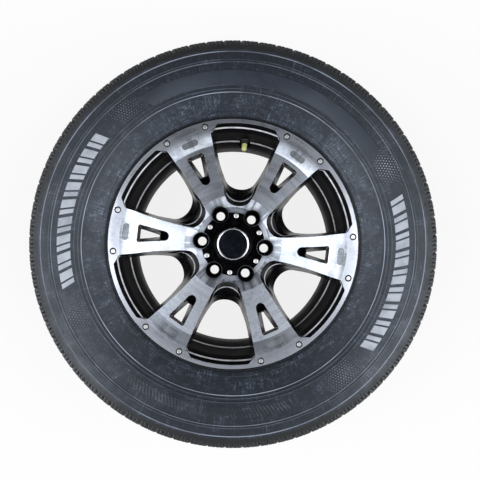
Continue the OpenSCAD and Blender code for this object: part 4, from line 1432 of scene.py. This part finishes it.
@dataclass
class Dressing:
    """The finishes of the solids that keep their own shape."""

    cap: GlossPlastic = field(default_factory=GlossPlastic)
    emblem: GlossPlastic = GlossPlastic(
        "emblem_disc", (0.003, 0.004, 0.006, 1.0), (0.008, 0.010, 0.015, 1.0), 0.14, 0.15)
    ring: BrightMetal = BrightMetal("bright_ring", (0.6, 0.62, 0.66, 1.0), (0.4, 0.42, 0.46, 1.0), 0.12)
    screw: BrightMetal = BrightMetal("screw_chrome", (0.95, 0.96, 0.98, 1.0), (0.7, 0.72, 0.75, 1.0), 0.3)
    bolt: BrightMetal = BrightMetal("rim_bolt_steel", (0.72, 0.73, 0.76, 1.0), (0.4, 0.41, 0.43, 1.0), 0.26)
    brass: BrightMetal = BrightMetal("valve_brass", (0.72, 0.55, 0.25, 1.0), (0.42, 0.3, 0.14, 1.0), 0.24)
    wire: BrightMetal = BrightMetal("spring_wire", (0.62, 0.62, 0.64, 1.0), (0.3, 0.3, 0.31, 1.0), 0.3)
    stem: SoftPolymer = SoftPolymer(
        "valve_rubber", (0.014, 0.014, 0.015, 1.0), (0.028, 0.028, 0.03, 1.0), 0.55)
    valve_cap: SoftPolymer = SoftPolymer("cap_yellow", (0.78, 0.79, 0.36, 1.0), (0.62, 0.64, 0.26, 1.0), 0.42)

    def finish_of(self, node: str) -> GlossPlastic | BrightMetal | SoftPolymer:
        """The finish that a node wears."""
        plain = {"centre_cap": self.cap, "cap_emblem": self.emblem, "cap_ring": self.ring,
                 "valve_stem": self.stem, "valve_cap": self.valve_cap, "core_spring": self.wire}
        if node in plain:
            return plain[node]
        if node.startswith("cap_screw"):
            return self.screw
        return self.bolt if node.startswith("rim_bolt") else self.brass

    def build(self) -> None:
        """Dresses each solid."""
        made: dict[str, bpy.types.Material] = {}
        for name, node in sorted(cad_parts.items()):
            if node.hide_render:
                continue
            paint = self.finish_of(name)
            if paint.name not in made:
                made[paint.name] = paint.material()
            node.data.materials.clear()
            node.data.materials.append(made[paint.name])
            LOG.info("%s: %s", name, paint.name)


# Studio


@dataclass
class Studio:
    """A pale floor, soft side panels and a camera that looks straight down the wheel's axis.

    The photograph's size and vanishing point are in its pixels. The picture is rolled by a few degrees, so
    across and along in the world's light are the picture's own left to right and bottom to top.
    """

    photo_size: int = 480
    vanishing: Point = (233.0, 256.0)
    distance: float = 1.1
    face_height: float = 72.5 * MM
    mm_per_pixel: float = 1.75
    drop: float = 21.0 * MM
    roll: float = 6.6
    sensor: float = 36.0
    clip: Point = (0.01, 60.0)
    floor_size: float = 6.0
    floor_light: float = 0.85
    floor_colour: Colour = (0.13, 0.13, 0.13, 1.0)
    backdrop: float = 0.97
    tent_radii: Point = (0.24, 0.44)
    tent_middle: float = 0.14
    tent: Step = Step(0.3, 1.6, 0.08, 0.6)
    rise: Step = Step(-0.1, 0.3, 0.5, 1.0)
    fall: Step = Step(-0.6, 0.6, 1.6, 0.6)
    low_glow: Step = Step(-0.75, -0.3, 0.9, 0.0)
    ends: Step = Step(0.58, 0.82, 1.0, 0.04)
    sides: Step = Step(0.4, 0.8, 1.0, 3.3)
    panel_power: float = 2.2
    panel_size: Point = (0.5, 0.3)
    panel_aside: float = 0.62
    panel_height: float = 1.6

    def __post_init__(self) -> None:
        """Works out the picture's own directions in the frame."""
        self.turn = math.radians(self.roll)
        self.right = Vector((math.cos(self.turn), math.sin(self.turn), 0.0))
        self.top = Vector((-math.sin(self.turn), math.cos(self.turn), 0.0))

    @staticmethod
    def hang(name: str, data: bpy.types.ID) -> Thing:
        """Links a new object for a camera or a lamp."""
        thing = bpy.data.objects.new(name, data)
        bpy.context.scene.collection.objects.link(thing)
        return thing

    def build_camera(self) -> None:
        """Sets the camera where the photograph was taken from, with its principal point shifted to match."""
        data = bpy.data.cameras.new("camera")
        data.sensor_width = self.sensor
        data.lens = self.distance * 1000 / self.mm_per_pixel * data.sensor_width / self.photo_size
        data.shift_x = (self.photo_size / 2 - self.vanishing[0]) / self.photo_size
        data.shift_y = (self.vanishing[1] - self.photo_size / 2) / self.photo_size
        data.clip_start, data.clip_end = self.clip
        camera = self.hang("camera", data)
        camera.location = Vector((0.0, 0.0, self.face_height + self.distance)) - self.drop * self.top
        camera.rotation_euler = (0.0, 0.0, self.turn)
        bpy.context.scene.camera = camera

    def build_floor(self) -> None:
        """Lays the floor, which shows pale to the camera and in reflections and keeps the wheel's shadow."""
        mesh = bmesh.new()
        bmesh.ops.create_grid(mesh, x_segments=1, y_segments=1, size=self.floor_size,
                              matrix=Matrix.Translation((0, 0, CAD_BOX[0][2])))
        material = bpy.data.materials.new("floor")
        graph = Graph.on(material)
        path = graph.add("ShaderNodeLightPath").outputs
        seen = graph.math("MAXIMUM", path["Is Camera Ray"], path["Is Glossy Ray"])
        seen = graph.math("MAXIMUM", seen, path["Is Transmission Ray"])
        glow = graph.add("ShaderNodeEmission", {"Strength": graph.product(seen, self.floor_light)})
        matt = graph.add("ShaderNodeBsdfDiffuse", {"Color": self.floor_colour})
        both = graph.add("ShaderNodeAddShader", {0: glow.outputs[0], 1: matt.outputs[0]})
        graph.add("ShaderNodeOutputMaterial", {0: both.outputs[0]})
        new_piece("floor", mesh, material)

    def build_world(self) -> None:
        """Surrounds the wheel with soft light that is brighter to its left and right than above it."""
        world = bpy.data.worlds.new("studio")
        bpy.context.scene.world = world
        graph = Graph.on(world)
        way = graph.add("ShaderNodeTexCoord").outputs["Generated"]
        across, along = (graph.vector("DOT_PRODUCT", {0: way, 1: axis}, 1) for axis in (self.right, self.top))
        wide = graph.math("POWER", graph.math("DIVIDE", across, self.tent_radii[0]), 2.0)
        tall = graph.math("DIVIDE", graph.math("SUBTRACT", along, self.tent_middle), self.tent_radii[1])
        tall = graph.math("POWER", tall, 2.0)
        light = graph.product(graph.ramp(graph.math("ADD", wide, tall), *self.tent),
                              graph.ramp(graph.parts(way)[2], *self.rise), graph.ramp(along, *self.fall))
        light = graph.product(graph.math("ADD", light, graph.ramp(along, *self.low_glow)),
                              graph.ramp(graph.math("ABSOLUTE", along), *self.ends),
                              graph.ramp(graph.math("ABSOLUTE", across), *self.sides))
        seen = graph.add("ShaderNodeLightPath").outputs["Is Camera Ray"]
        inputs = {"Color": (1.0, 1.0, 1.0, 1.0), "Strength": graph.blend(seen, light, self.backdrop)}
        graph.add("ShaderNodeOutputWorld", {0: graph.add("ShaderNodeBackground", inputs).outputs[0]})

    def build_panels(self) -> None:
        """Hangs a soft panel on each side of the camera."""
        for name, sign in (("left", -1.0), ("right", 1.0)):
            data = bpy.data.lights.new(f"panel_{name}", "AREA")
            data.shape = "RECTANGLE"
            data.size, data.size_y = self.panel_size
            data.energy = self.panel_power
            panel = self.hang(f"panel_{name}", data)
            at = self.right * sign * self.panel_aside + Vector((0, 0, self.panel_height))
            panel.location = at
            panel.rotation_euler = (-at).to_track_quat("-Z", "Y").to_euler()

    def build(self) -> None:
        """Builds the whole studio."""
        scene = bpy.context.scene
        scene.view_settings.view_transform = "Standard"
        self.build_camera()
        self.build_floor()
        self.build_world()
        self.build_panels()
        LOG.info("studio: camera at %s", tuple(round(x, 4) for x in scene.camera.location))


def main() -> None:
    """Builds the studio, the tyre, the casting and the small parts in turn."""
    logging.basicConfig(level=logging.INFO, format="%(name)s: %(message)s")
    Studio().build()
    Tyre().build()
    Casting().build()
    Dressing().build()


if __name__ == "__main__":
    main()
